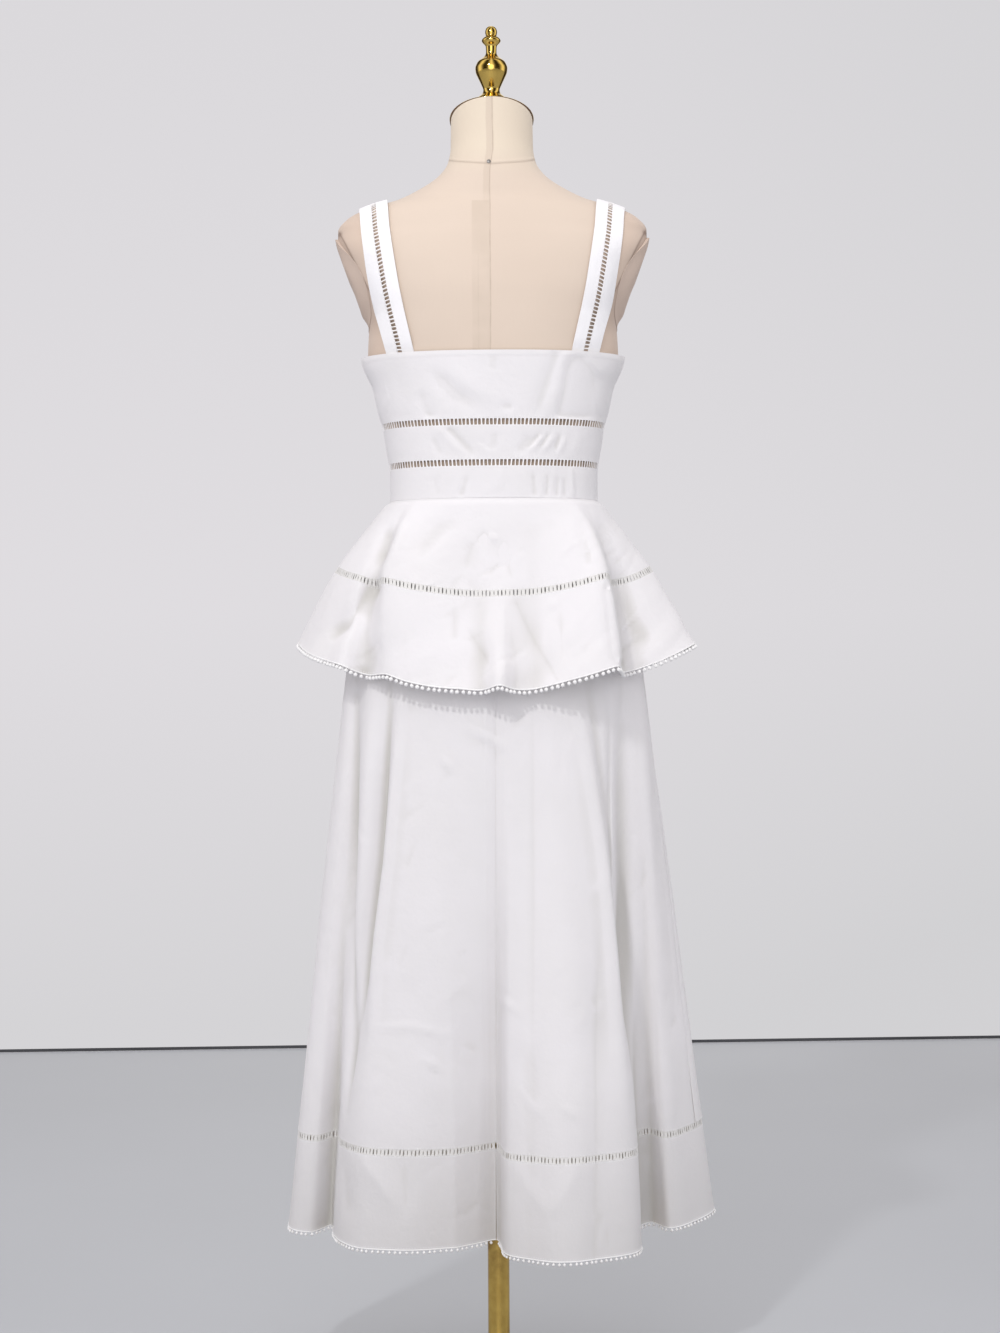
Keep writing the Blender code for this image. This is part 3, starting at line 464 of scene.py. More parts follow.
class Line:
    """A smooth line through a table's rows that never overshoots them."""

    def __init__(self, stations, values):
        self.stations = np.asarray(stations, float)
        self.values = np.asarray(values, float).reshape(len(self.stations), -1)
        step = np.diff(self.values, axis=0) / np.diff(self.stations)[:, None]
        same = step[:-1] * step[1:] > 0
        total = np.where(same, step[:-1] + step[1:], 1.0)
        inner = np.where(same, 2 * step[:-1] * step[1:] / total, 0.0)
        self.lean = np.vstack([step[:1], inner, step[-1:]])

    def __call__(self, at):
        at = np.clip(np.asarray(at, float), self.stations[0], self.stations[-1])
        k = np.clip(np.searchsorted(self.stations, at, side="right") - 1, 0, len(self.stations) - 2)
        width = (self.stations[k + 1] - self.stations[k])[..., None]
        t = (at - self.stations[k])[..., None] / width
        return (
            (2 * t**3 - 3 * t**2 + 1) * self.values[k]
            + (t**3 - 2 * t**2 + t) * width * self.lean[k]
            + (3 * t**2 - 2 * t**3) * self.values[k + 1]
            + (t**3 - t**2) * width * self.lean[k + 1]
        )


FORM = Line([row[0] for row in FORM_SECTIONS], [row[1:] for row in FORM_SECTIONS])
EDGE_OF_FRONT = Line([a for a, _ in FRONT_TOP], [z for _, z in FRONT_TOP])
STRAP_MIDDLE = Line([turn for turn, _ in STRAP_ROUTE], [x for _, x in STRAP_ROUTE])


def ease(value, start, end):
    """0 before start, 1 after end, smooth between. start may be the larger."""
    t = np.clip((np.asarray(value, float) - start) / (end - start), 0.0, 1.0)
    return t * t * (3 - 2 * t)


def bust(x, z):
    across = (np.abs(x) - CUP_X) / CUP_WIDTH
    up = (z - CUP_Z) / CUP_HEIGHT
    return CUP_DEPTH * np.exp(-across * across - up * up)


def form_points(angle, z, out=0.0):
    """Points of the form's surface, or out beyond it. Degrees from the centre back."""
    angle, z, out = np.broadcast_arrays(*(np.asarray(value, float) for value in (angle, z, out)))
    half, back, front, square, tilt = np.moveaxis(FORM(z), -1, 0)
    s, c = np.sin(np.radians(angle)), np.cos(np.radians(angle))
    x = (half + out) * np.sign(s) * np.abs(s) ** (2 / square)
    depth = np.where(c > 0, back, front) + out
    y = -depth * np.sign(c) * np.abs(c) ** (2 / square)
    y = y + np.where(c < 0, bust(x, z) * y / depth, 0.0)
    return np.stack([x, y, z - tilt * y], axis=-1)


def angle_at_x(x, z, out):
    """Degrees from the centre front at which the front's surface passes an x."""
    half, _, _, square, _ = np.moveaxis(FORM(z), -1, 0)
    share = np.clip(np.abs(x) / (half + out), 0.0, 1.0)
    return np.sign(x) * np.degrees(np.arcsin(share ** (square / 2)))


def shoulder_points(x, turn, lift, drop):
    """Points over the shoulder. turn runs from 0, straight back, to 180, straight front."""
    aim_y, aim_z = -np.cos(np.radians(turn)), np.sin(np.radians(turn))
    back_end = BODICE_TOP + 2 * SEAM
    rise = back_end + (STRAP_FRONT - back_end) * turn / 180 + STRAP_RISE * aim_z - drop
    near, far = np.zeros_like(x), np.full_like(x, 0.3)
    for _ in range(36):
        middle = (near + far) / 2
        y, z = aim_y * middle, rise + aim_z * middle
        half, back, front, square, _ = np.moveaxis(FORM(z), -1, 0)
        depth = np.where(y < 0, back, front + np.where(y > 0, bust(x, z), 0.0))
        inside = np.abs(x / half) ** square + np.abs(y / depth) ** square < 1
        near = np.where(inside, middle, near)
        far = np.where(inside, far, middle)
    edge = np.where(turn < 90, BODICE_TOP, STRAP_FRONT)
    high = rise + aim_z * near
    reach = near + 1.0 * MM + (lift - 1.0 * MM) * ease(high - edge, 0.0, 12 * MM)
    return np.stack([x, aim_y * reach, rise + aim_z * reach], axis=-1)


def through(points, at, closed):
    """A point on the rounded line through fold lines; at counts the lines."""
    count = len(points)
    k = min(int(math.floor(at)), count - 1 if closed else count - 2)
    picked = []
    for step in (-1, 0, 1, 2):
        i = k + step
        if closed:
            picked.append(points[i % count])
        elif i < 0:
            picked.append(2 * points[0] - points[1])
        elif i >= count:
            picked.append(2 * points[-1] - points[-2])
        else:
            picked.append(points[i])
    knots = [0.0]
    for a, b in zip(picked, picked[1:], strict=False):
        knots.append(knots[-1] + max(float(np.linalg.norm(b - a)), 1e-6) ** 0.5)
    t = knots[1] + (at - k) * (knots[2] - knots[1])
    level = picked
    for reach in (1, 2, 3):
        blended = []
        for i in range(len(level) - 1):
            low, high = (knots[i], knots[i + reach]) if reach < 3 else (knots[1], knots[2])
            blended.append(((high - t) * level[i] + (t - low) * level[i + 1]) / (high - low))
        level = blended
    return level[0]


@lru_cache(maxsize=None)
def skirt_loops():
    """The fold lines' places at the waist, the hip and the hem, seen from above."""
    waist, hip, hem = [], [], []
    for _, angle, out, hem_x, hem_y in SKIRT_FOLDS:
        waist.append(form_points(angle, WAIST - SEAM, FIT)[:2])
        s, c = math.sin(math.radians(angle)), math.cos(math.radians(angle))
        depth = HIP_SIZE[1] if c > 0 else HIP_SIZE[2]
        hip.append(np.array(((HIP_SIZE[0] + out * MM) * s, -(depth + out * MM) * c)))
        hem.append(np.array((hem_x, hem_y)) * MM)
    return waist, hip, hem


def skirt_levels(at):
    """The skirt's four levels at one place round it: waist, high hip, hip and hem."""
    w, h, b = (through(points, at, True) for points in skirt_loops())
    high = w + (h - w) * HIGH_HIP_SHARE
    drop = math.sqrt((HIP - HEM) ** 2 - float(np.sum((b - h) ** 2)))
    heights = (WAIST - TIGHT, HIGH_HIP, HIP, HIP - drop)
    return np.array([(p[0], p[1], z) for p, z in zip((w, high, h, b), heights, strict=True)])


@lru_cache(maxsize=None)
def peplum_loops():
    """The fold lines' places at the waist, the insertion and the hem, and their angles."""
    waist = [form_points(row[1], WAIST - SEAM, FIT + PEPLUM_STEP)[:2] for row in PEPLUM_FOLDS]
    ladder = [np.array(row[2:4]) * MM for row in PEPLUM_FOLDS]
    hem = [np.array(row[4:6]) * MM for row in PEPLUM_FOLDS]
    turn = [np.array((row[1], 0.0)) for row in PEPLUM_FOLDS]
    return waist, ladder, hem, turn


def peplum_levels(at):
    """The peplum's three levels at one place round it: waist, insertion and hem."""
    w, m, b, turn = (through(points, at, False) for points in peplum_loops())
    share = math.sin(math.radians(turn[0])) ** 2
    heights = [WAIST - TIGHT]
    places = (w, m, b)
    for tier in (0, 1):
        cut = PEPLUM_TIERS["centre"][tier] * (1 - share) + PEPLUM_TIERS["side"][tier] * share
        out = float(np.sum((places[tier + 1] - places[tier]) ** 2))
        heights.append(heights[-1] - math.sqrt(max(cut**2 - out, 0.0)))
    return np.array([(p[0], p[1], z) for p, z in zip(places, heights, strict=True)])


def reach_of(levels):
    return np.concatenate([[0.0], np.cumsum(np.linalg.norm(np.diff(levels, axis=0), axis=1))])


def grid_normals(points):
    """Outward directions of a grid whose rows run down and whose columns run to the right."""
    normals = np.cross(np.gradient(points, axis=0), np.gradient(points, axis=1))
    return normals / np.maximum(np.linalg.norm(normals, axis=-1, keepdims=True), 1e-12)


def blurred(grid, passes):
    """The grid with its folds smoothed away little by little; its edges stay."""
    for _ in range(passes):
        for axis in (0, 1):
            grid = np.moveaxis(grid, axis, 0)
            inner = (grid[:-2] + 2 * grid[1:-1] + grid[2:]) / 4
            grid = np.moveaxis(np.concatenate([grid[:1], inner, grid[-1:]]), 0, axis)
    return grid


def hollows(grid):
    """How deep each point of a grid lies in a fold or a crease: 1 in a valley, -1 on a ridge. The cloth's
    finish paints shade by it.
    """
    normals = grid_normals(grid)
    crease = np.sum((blurred(grid, 4) - grid) * normals, axis=-1)
    fold = np.sum((blurred(grid, 30) - grid) * normals, axis=-1)
    sharp = np.clip(crease / (0.7 * MM), -1, 1)
    wide = np.clip(fold / (3.4 * MM), -1, 1)
    return np.clip(0.2 * sharp + 0.95 * wide, -1, 1)


def grid_lengths(points):
    """Distances along the rows and down the columns, for each point of a grid."""
    across = np.linalg.norm(np.diff(points, axis=1), axis=-1)
    down = np.linalg.norm(np.diff(points, axis=0), axis=-1)
    along = np.concatenate([np.zeros((points.shape[0], 1)), np.cumsum(across, axis=1)], axis=1)
    below = np.concatenate([np.zeros((1, points.shape[1])), np.cumsum(down, axis=0)], axis=0)
    return along, below


def crease_heights(u, v, creases):
    """How far listed creases lift the cloth at places u, v, which are in millimetres."""
    total = np.zeros(u.shape)
    for kind, fades, width, height, route in creases:
        route = np.array(route, float)
        pieces = np.linalg.norm(np.diff(route, axis=0), axis=1)
        best = np.full(u.shape, 1e9)
        side = np.zeros(u.shape)
        place = np.zeros(u.shape)
        for i, length in enumerate(pieces):
            run = (route[i + 1] - route[i]) / length
            du, dv = u - route[i, 0], v - route[i, 1]
            t = np.clip(du * run[0] + dv * run[1], 0.0, length)
            away_u, away_v = du - t * run[0], dv - t * run[1]
            distance = np.hypot(away_u, away_v)
            closer = distance < best
            best = np.where(closer, distance, best)
            side = np.where(closer, run[0] * away_v - run[1] * away_u, side)
            place = np.where(closer, (t + pieces[:i].sum()) / pieces.sum(), place)
        shape = np.exp(-((best / width) ** 2))
        if kind == "fold":
            shape = shape * np.sign(side) * best / width * 1.6
        elif kind in ("crest", "notch"):
            shape = np.clip(1 - best / (2.2 * width), 0, 1) ** 2 * (1 if kind == "crest" else -1)
        elif kind == "valley":
            shape = -shape
        if fades in ("both", "start"):
            shape = shape * ease(place, -0.1, 0.35)
        if fades in ("both", "end"):
            shape = shape * ease(place, 1.1, 0.65)
        total += shape * height * MM
    return total


def crumples(seed, width, height, count, finest):
    """Small sharp creases at uneven places on a piece of this width and height, in millimetres."""
    draw = np.random.default_rng(seed)
    rows = []
    for _ in range(count):
        place = np.array((draw.uniform(0, width), draw.uniform(0, height)))
        lean = draw.uniform(-1.2, 1.2)
        length = draw.uniform(12, 46)
        bend = draw.uniform(-0.4, 0.4)
        middle = place + np.array((math.sin(lean), math.cos(lean))) * length / 2
        end = middle + np.array((math.sin(lean + bend), math.cos(lean + bend))) * length / 2
        kind = ("crest", "notch", "fold")[draw.integers(3)]
        rows.append((kind, "both", finest * draw.uniform(1, 2), draw.uniform(0.2, 0.7), (place, middle, end)))
    return rows


def soft_waves(u, v, height, pitch):
    """The slow unevenness of worn cloth, from crossing waves. All in metres."""
    first = np.sin(u / pitch + 1.3 * np.sin(v / (1.7 * pitch)))
    second = np.sin(0.6 * v / pitch + 0.8 * np.sin(u / (2.1 * pitch)) + 2.0)
    third = np.sin((u + v) / (1.9 * pitch) + 4.1)
    return height * (0.5 * first + 0.3 * second + 0.2 * third)


def moved(points, heights):
    return points + grid_normals(points) * heights[..., None]


# The fitted pieces: half of the turn that they cover, columns, top, lower edge, rows and creases
FITTED = {
    "bodice_back": (90, 190, BODICE_TOP, UPPER_LADDER + OPENING / 2, 46, BACK_TOP_CREASES),
    "midriff_band": (
        180, 330, UPPER_LADDER - OPENING / 2, LOWER_LADDER + OPENING / 2, 22, MIDRIFF_CREASES,
    ),
    "waist_band": (180, 330, LOWER_LADDER - OPENING / 2, WAIST - WAIST_LAP, 20, WAIST_CREASES),
}


def fitted_shape(piece):
    """A fitted piece's angles, the heights of its top and lower edges, its rows and its creases."""
    if piece in FITTED:
        half_turn, columns, *rest = FITTED[piece]
        return (np.linspace(-half_turn, half_turn, columns), *rest)
    start, end = (90, 180) if piece.endswith("right") else (-180, -90)
    angles = np.linspace(start, end, 110)
    return angles, EDGE_OF_FRONT(np.abs(angles))[:, 0], UPPER_LADDER + OPENING / 2, 60, ()


@lru_cache(maxsize=None)
def bodice_grid(piece):
    """The outer side of one fitted piece, with its creases."""
    angles, top, low, rows, creases = fitted_shape(piece)
    share = np.linspace(0, 1, rows)[:, None]
    heights = top + (low - top) * share + np.zeros((rows, len(angles)))
    points = form_points(angles[None, :], heights, FIT)
    along, down = grid_lengths(points)
    x, y = points[..., 0], points[..., 1]
    off_placket = ease(np.abs(x), PLACKET * 0.6, PLACKET * 1.4)
    if piece.startswith("bodice_front"):
        lengthwise = along if piece.endswith("right") else along[:, -1:] - along
        lift = crease_heights(lengthwise / MM, down / MM, FRONT_PIECE_CREASES)
        calm = off_placket
    else:
        lift = crease_heights(x / MM, heights / MM, creases)
        front = crease_heights(-x / MM, heights / MM, creases)
        lift = np.where(y < 0, lift, front * 0.7)
        calm = np.where(y > 0, off_placket, 1.0)
    small = crumples(len(piece), along.max() / MM, down.max() / MM, *SMALL_CREASES["fitted"])
    lift = lift + crease_heights(along / MM, down / MM, small) * 0.6
    waves = soft_waves(along, down, *SLOW_WAVES["fitted"])
    lift = lift * bpy.context.scene.dress_folds.crease + waves
    edge = np.minimum(down, down[-1:] - down)
    lift = lift * calm * ease(edge, -1 * MM, 6 * MM)
    hemmed = TURNED_IN * ease(down, *TOP_FOLD) if piece.startswith("bodice_") else 0.0
    beside_arm = ease(np.abs(np.abs(angles) - 90), 34, 4)
    corner = BODICE_CORNER * beside_arm * ease(heights, 1.185, BODICE_TOP)
    return moved(points, np.maximum(lift, -DEEPEST) + hemmed + corner)


def skirt_ends(piece):
    """Where a skirt piece starts and ends round the skirt, in fold lines."""
    names = [row[0] for row in SKIRT_FOLDS]
    right, left = (names.index(line) + 0.5 for line in SIDE_SEAMS)
    front = (names.index("placket right") + names.index("placket left")) / 2
    panels = {
        "skirt_back_right": (0, right),
        "skirt_front_right": (right, front),
        "skirt_front_left": (front, left),
        "skirt_back_left": (left, len(names)),
    }
    halves = {"right": (0, front), "left": (front, len(names))}
    return panels.get(piece) or halves[piece.rsplit("_", 1)[1]]


def skirt_stations(piece, whole):
    """How far down the skirt, which is this long, the rows of one of its pieces are."""
    spare = (OPENING - LADDER) / 2
    above = whole - SKIRT_BAND - spare
    below = whole - SKIRT_BAND + LADDER + spare
    if "band" in piece:
        return np.linspace(below, whole, 26)
    if "ladder" in piece:
        return np.linspace(above, below, 3)
    return np.linspace(0.0, above, 158 if "back" in piece else 130)


@lru_cache(maxsize=None)
def skirt_grid(piece):
    """The outer side of a skirt panel, of a half of its insertion or of a half of its bottom band."""
    band = "band" in piece
    openwork = "ladder" in piece
    start, end = skirt_ends(piece)
    per_fold = 14 if "back" in piece else 11
    columns = []
    for at in np.linspace(start, end, int(round((end - start) * per_fold)) + 1):
        levels = skirt_levels(float(at))
        reach = reach_of(levels)
        columns.append(Line(reach, levels)(skirt_stations(piece, reach[-1])))
    points = np.stack(columns, axis=1)
    along, down = grid_lengths(points)
    x, y, z = np.moveaxis(points, -1, 0)
    if piece.startswith("skirt_front"):
        lengthwise = along if piece.endswith("left") else along[:, -1:] - along
        lift = crease_heights(lengthwise / MM, down / MM, FRONT_SKIRT_CREASES)
    else:
        table = HEM_BAND_CREASES if band or openwork else SKIRT_CREASES
        lift = crease_heights(x / MM, z / MM, table) * ease(y, -4 * MM, -34 * MM)
    if not openwork:
        kind = "band" if band else "skirt"
        small = crumples(len(piece) + 7, along.max() / MM, down.max() / MM, *SMALL_CREASES[kind])
        lift = lift + crease_heights(along / MM, down / MM, small)
        seam = np.minimum(along, along[:, -1:] - along)
        depth, width = SEAM_DIP
        lift = lift - depth * np.exp(-((seam / width) ** 2)) + TURNED_IN * ease(seam, *ALLOWANCE)
    height, gain, pitch = SKIRT_WAVE
    waves = soft_waves(along, z, height + gain * (1 - ease(z, 0.3, 0.7)), pitch)
    lift = lift * bpy.context.scene.dress_folds.crease + waves
    panel = not (band or openwork)
    if panel:
        lift = lift * ease(down, 0.0, 60 * MM)
    lift = lift * np.where(y > 0, ease(np.abs(x), PLACKET * 0.6, PLACKET * 1.6), 1.0)
    if panel:
        lift = lift - SKIRT_TUCK * ease(down, 12 * MM, 3 * MM)
    return moved(points, lift)


@lru_cache(maxsize=None)
def peplum_grid(piece):
    """The outer side of a peplum tier, or of the insertion between the tiers."""
    last = len(PEPLUM_FOLDS) - 1
    half = OPENING / 2
    rows = {"peplum_upper": 40, "peplum_ladder": 3, "peplum_lower": 40}[piece]
    columns, below = [], []
    for at in np.linspace(0, last, last * 12 + 1):
        levels = peplum_levels(float(at))
        reach = reach_of(levels)
        spans = {
            "peplum_upper": (0.0, reach[1] - half),
            "peplum_ladder": (reach[1] - half, reach[1] + half),
            "peplum_lower": (reach[1] + half, reach[2]),
        }
        stations = np.linspace(*spans[piece], rows)
        columns.append(Line(reach, levels)(stations))
        below.append(stations)
    points = np.stack(columns, axis=1)
    down = np.stack(below, axis=1)
    along, _ = grid_lengths(points)
    behind = points[..., 1] < 0.0
    lift = crease_heights(points[..., 0] / MM, points[..., 2] / MM, PEPLUM_CREASES)
    front = crease_heights(-points[..., 0] / MM, points[..., 2] / MM, PEPLUM_CREASES)
    small = crumples(len(piece) + 3, along.max() / MM, 105, *SMALL_CREASES["peplum"])
    lift = np.where(behind, lift, front * 0.6)
    lift = lift + crease_heights(along / MM, (down - down[:1]) / MM, small)
    waves = soft_waves(along, down, *SLOW_WAVES["peplum"])
    lift = lift * bpy.context.scene.dress_folds.crease + waves
    lift = lift * ease(down, 4 * MM, 50 * MM)
    return moved(points, lift - PEPLUM_TUCK * ease(down, 9 * MM, 1 * MM))


@lru_cache(maxsize=None)
def strap_grid(piece):
    """The outer side of one strip of a strap, or of the insertion between two strips."""
    _, label, strip = piece.split("_")
    half, inner = STRAP_WIDTH / 2, STRAP_LADDER / 2
    span = {"inner": (-half, -inner), "ladder": (-inner, inner), "outer": (inner, half)}[strip]
    across = np.linspace(*span, 3 if strip == "ladder" else 9)
    turns = np.concatenate([np.zeros(4), np.linspace(0, 180, 150), np.full(4, 180.0)])
    drops = np.concatenate([np.linspace(9, 2, 4), np.zeros(150), np.linspace(2, 9, 4)]) * MM
    middle = STRAP_MIDDLE(turns)[:, 0]
    x = middle[:, None] + across[None, :]
    turn = np.repeat(turns[:, None], len(across), axis=1)
    drop = np.repeat(drops[:, None], len(across), axis=1)
    points = shoulder_points(x, turn, STRAP_LIFT + STRAP_WALL, drop)
    if label == "left":
        points = points * np.array((-1, 1, 1))
    points = points[::-1]
    along, down = grid_lengths(points)
    return moved(points, soft_waves(along, down, *SLOW_WAVES["strap"]))


class Pile:
    """Points and faces of one piece, gathered from its parts, with each point's place on the cloth."""

    def __init__(self):
        self.points = []
        self.faces = []
        self.marks = {"along": [], "down": [], "hollow": []}
        self.count = 0

    def add(self, points, faces, **marks):
        points = np.asarray(points, float).reshape(-1, 3)
        blank = np.zeros(len(points))
        self.points.append(points)
        self.faces.extend((np.asarray(face) + self.count).tolist() for face in faces)
        for label, values in self.marks.items():
            values.append(np.asarray(marks[label], float).ravel() if label in marks else blank)
        self.count += len(points)

    def wall(self, outer, thickness):
        """A thin closed wall whose outer side is a grid."""
        rows, columns = outer.shape[:2]
        count = rows * columns
        inner = outer - grid_normals(outer) * thickness
        along, down = grid_lengths(outer)
        # how deep each point lies in a fold, which the cloth's finish turns into painted shade
        hollow = hollows(outer)
        index = np.arange(count).reshape(rows, columns)
        corners = (index[:-1, :-1], index[1:, :-1], index[1:, 1:], index[:-1, 1:])
        quads = np.stack(corners, axis=-1).reshape(-1, 4)
        rim = np.concatenate([index[0, :], index[1:, -1], index[-1, -2::-1], index[-2::-1, 0]])
        edge = np.stack([rim[:-1], rim[1:], rim[1:] + count, rim[:-1] + count], axis=1)
        self.add(
            np.concatenate([outer.reshape(-1, 3), inner.reshape(-1, 3)]),
            np.concatenate([quads, quads[:, ::-1] + count, edge]),
            along=np.concatenate([along, along]),
            down=np.concatenate([down, down]),
            hollow=np.concatenate([hollow, -hollow]),
        )

    def tubes(self, paths, sides_one, sides_two, around=6):
        """Many short tubes: paths and their two half-thickness vectors, each of shape tubes, rings, 3."""
        count, rings = paths.shape[:2]
        turn = full_turn(around)[:, None]
        ring = (
            paths[:, :, None, :]
            + sides_one[:, :, None, :] * np.cos(turn)
            + sides_two[:, :, None, :] * np.sin(turn)
        )
        index = np.arange(count * rings * around).reshape(count, rings, around)
        following = np.roll(index, -1, axis=2)
        corners = (index[:, :-1], following[:, :-1], following[:, 1:], index[:, 1:])
        self.add(ring, np.stack(corners, axis=-1).reshape(-1, 4))

    def object(self, name, material):
        mesh = bpy.data.meshes.new(name)
        mesh.from_pydata(np.concatenate(self.points).tolist(), [], self.faces)
        for label, values in self.marks.items():
            layer = mesh.attributes.new(label, "FLOAT", "POINT")
            layer.data.foreach_set("value", np.concatenate(values).astype(np.float32))
        mesh.materials.append(material)
        mesh.shade_smooth()
        mesh.set_sharp_from_angle(angle=SHARP)
        piece = bpy.data.objects.new(name, mesh)
        bpy.context.scene.collection.objects.link(piece)
        return piece


def placed(piece, slot, *nodes):
    """The piece rides on the object and stands for its CAD nodes, which it hides; slot is not used."""
    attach(piece, "root")
    if nodes:
        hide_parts(*nodes)
    return piece


def full_turn(around):
    return np.arange(around) * 2 * math.pi / around


def stations_along(line, pitch, margin):
    """Evenly spaced places on a line, as fractional indices of its points."""
    reach = reach_of(line)
    room = reach[-1] - 2 * margin
    count = max(int(room / pitch), 1)
    distances = margin + room * (np.arange(count) + 0.5) / count
    return np.interp(distances, reach, np.arange(len(line)))


def sampled(line, places):
    low = np.clip(np.floor(places).astype(int), 0, len(line) - 2)
    part = (places - low)[:, None]
    return line[low] * (1 - part) + line[low + 1] * part


def unit(vectors):
    return vectors / np.maximum(np.linalg.norm(vectors, axis=-1, keepdims=True), 1e-12)


def repeated(vectors, count):
    """One vector for each tube, the same at each of its rings."""
    return np.repeat(vectors[:, None], count, axis=1)


def ladder(pile, grid, sizes, fullness):
    """An openwork insertion: two sewn edges and the bars between them, across a grid's rows."""
    upper, lower = grid[0], grid[-1]
    normals = grid_normals(grid)[1]
    rail = unit(lower - upper) * RAIL
    for near, far in ((upper, upper + rail), (lower - rail, lower)):
        pile.wall(np.stack([near, (near + far) / 2 + normals * RAIL_SWELL, far]), RAIL_WALL)
    places = stations_along((upper + lower) / 2, sizes.bar_pitch, LADDER_END)
    number = np.arange(len(places))
    wander = np.sin(number * 2.4) * 0.06
    uneven = 1 + 0.18 * np.sin(number * 1.7)
    start = sampled(upper + rail / 2, places + wander)
    end = sampled(lower - rail / 2, places - wander)
    out = unit(sampled(normals, places))
    run = unit(np.cross(out, end - start))
    share = BAR_STATIONS[None, :, None]
    paths = start[:, None] * (1 - share) + end[:, None] * share - out[:, None] * BAR_SUNK
    wide = BAR_SWELL * sizes.bar_width * fullness / 2
    sides_one = run[:, None] * (wide[None, :, None] * uneven[:, None, None])
    pile.tubes(paths, sides_one, repeated(out * BAR_DEPTH, len(BAR_STATIONS)))


def bobbles(pile, grid, sizes, bobble):
    """Bobble trim below a grid's last row: a fine braid, threads and little pompons."""
    hem = grid[-1]
    down = unit(grid[-1] - grid[-2])
    normals = grid_normals(grid)[-1]
    braid = hem + down * 0.2 * MM - normals * 0.35 * MM
    pile.tubes(braid[None], (normals * BRAID_DEPTH)[None], (down * BRAID_HEIGHT)[None])
    places = stations_along(hem, sizes.bobble_pitch, sizes.bobble_pitch * 0.4)
    number = np.arange(len(places))
    out = unit(sampled(normals, places))
    fall = unit(sampled(down, places) + np.array((0, 0, -0.6)))
    run = unit(np.cross(out, fall))
    start = sampled(braid, places)
    aside = run * (np.sin(number * 2.1) * 0.5 * MM)[:, None]
    ahead = out * (np.sin(number * 1.3) * 0.4 * MM)[:, None]
    radius = bobble / 2
    centres = start + fall * (radius + BOBBLE_THREAD) + aside + ahead
    paths = np.stack([start, centres], axis=1)
    pile.tubes(paths, repeated(run * BOBBLE_THREAD_HALF, 2), repeated(out * BOBBLE_THREAD_HALF, 2), around=4)
    ball = bmesh.new()
    bmesh.ops.create_icosphere(ball, subdivisions=2, radius=1.0)
    corners = np.array([v.co[:] for v in ball.verts])
    faces = [[v.index for v in face.verts] for face in ball.faces]
    ball.free()
    for i, centre in enumerate(centres):
        turn = np.array(Matrix.Rotation(i * 1.9, 3, "Z") @ Matrix.Rotation(i * 2.7, 3, "X"))
        fluff = 1 + 0.09 * np.sin(corners @ np.array((7.1, 5.3, 6.2)) + i)
        pile.add(centre + (corners * fluff[:, None]) @ turn.T * radius, faces)


def inset_line(grid, distance, edge):
    """The line that runs at a distance inside one edge of a grid, with its normals."""
    normals = grid_normals(grid)
    if edge in ("left", "right"):
        grid, normals = grid.transpose(1, 0, 2), normals.transpose(1, 0, 2)
    if edge in ("bottom", "right"):
        grid, normals = grid[::-1], normals[::-1]
    _, down = grid_lengths(grid)
    line, outs = [], []
    for j in range(grid.shape[1]):
        place = np.array([np.interp(distance, down[:, j], np.arange(grid.shape[0]))])
        line.append(sampled(grid[:, j], place)[0])
        outs.append(sampled(normals[:, j], place)[0])
    return np.array(line), unit(np.array(outs))


def stitches(pile, line, normals, sizes):
    """A row of lockstitches that lies on the cloth along a line."""
    places = stations_along(line, sizes.stitch + sizes.stitch_gap, ROW_END)
    per_metre = (len(line) - 1) / reach_of(line)[-1]
    half = sizes.stitch / 2 * per_metre * np.array((-1.0, 0.0, 1.0))
    ends = np.clip(places[:, None] + half[None], 0, len(line) - 1.001)
    flat = sampled(line, ends.ravel()).reshape(len(places), 3, 3)
    out = unit(sampled(normals, places))
    paths = flat + out[:, None] * STITCH_RISE[None, :, None]
    run = unit(flat[:, -1] - flat[:, 0])
    size = STITCH_HALF[None, :, None]
    pile.tubes(paths, np.cross(out, run)[:, None] * size, out[:, None] * size * 0.8, around=4)


def ring_faces(rows, around, closed=True, upward=False):
    """Faces between rings of points that run down, or upward, and those that close the two ends."""
    index = np.arange(rows * around).reshape(rows, around)
    following = np.roll(index, -1, axis=1)
    corners = [index[:-1], index[1:], following[1:], following[:-1]]
    ends = [index[0], index[-1, ::-1]]
    if upward:
        corners = [corners[0], *corners[:0:-1]]
        ends = [end[::-1] for end in ends]
    faces = list(np.stack(corners, axis=-1).reshape(-1, 4))
    return faces + ends if closed else faces


def lathe(profile, around=96):
    """Points and faces of a turned shape from radius and height, top to bottom."""
    turn = full_turn(around)
    radius, height = profile[:, :1], profile[:, 1:]
    points = np.stack([radius * np.cos(turn), radius * np.sin(turn), height + 0 * turn], axis=-1)
    return points.reshape(-1, 3), ring_faces(len(profile), around, closed=False)


def rounded(profile, step=0.35 * MM):
    """A profile with each corner cut by a small round."""
    profile = [np.array(p, float) for p in profile]
    out = [profile[0]]
    for before, here, after in zip(profile, profile[1:], profile[2:], strict=False):
        back, on = before - here, after - here
        reach = min(step, np.linalg.norm(back) * 0.4, np.linalg.norm(on) * 0.4)
        start = here + back / max(np.linalg.norm(back), 1e-9) * reach
        end = here + on / max(np.linalg.norm(on), 1e-9) * reach
        out += [start, start * 0.25 + here * 0.5 + end * 0.25, end]
    return np.array(out + [profile[-1]])


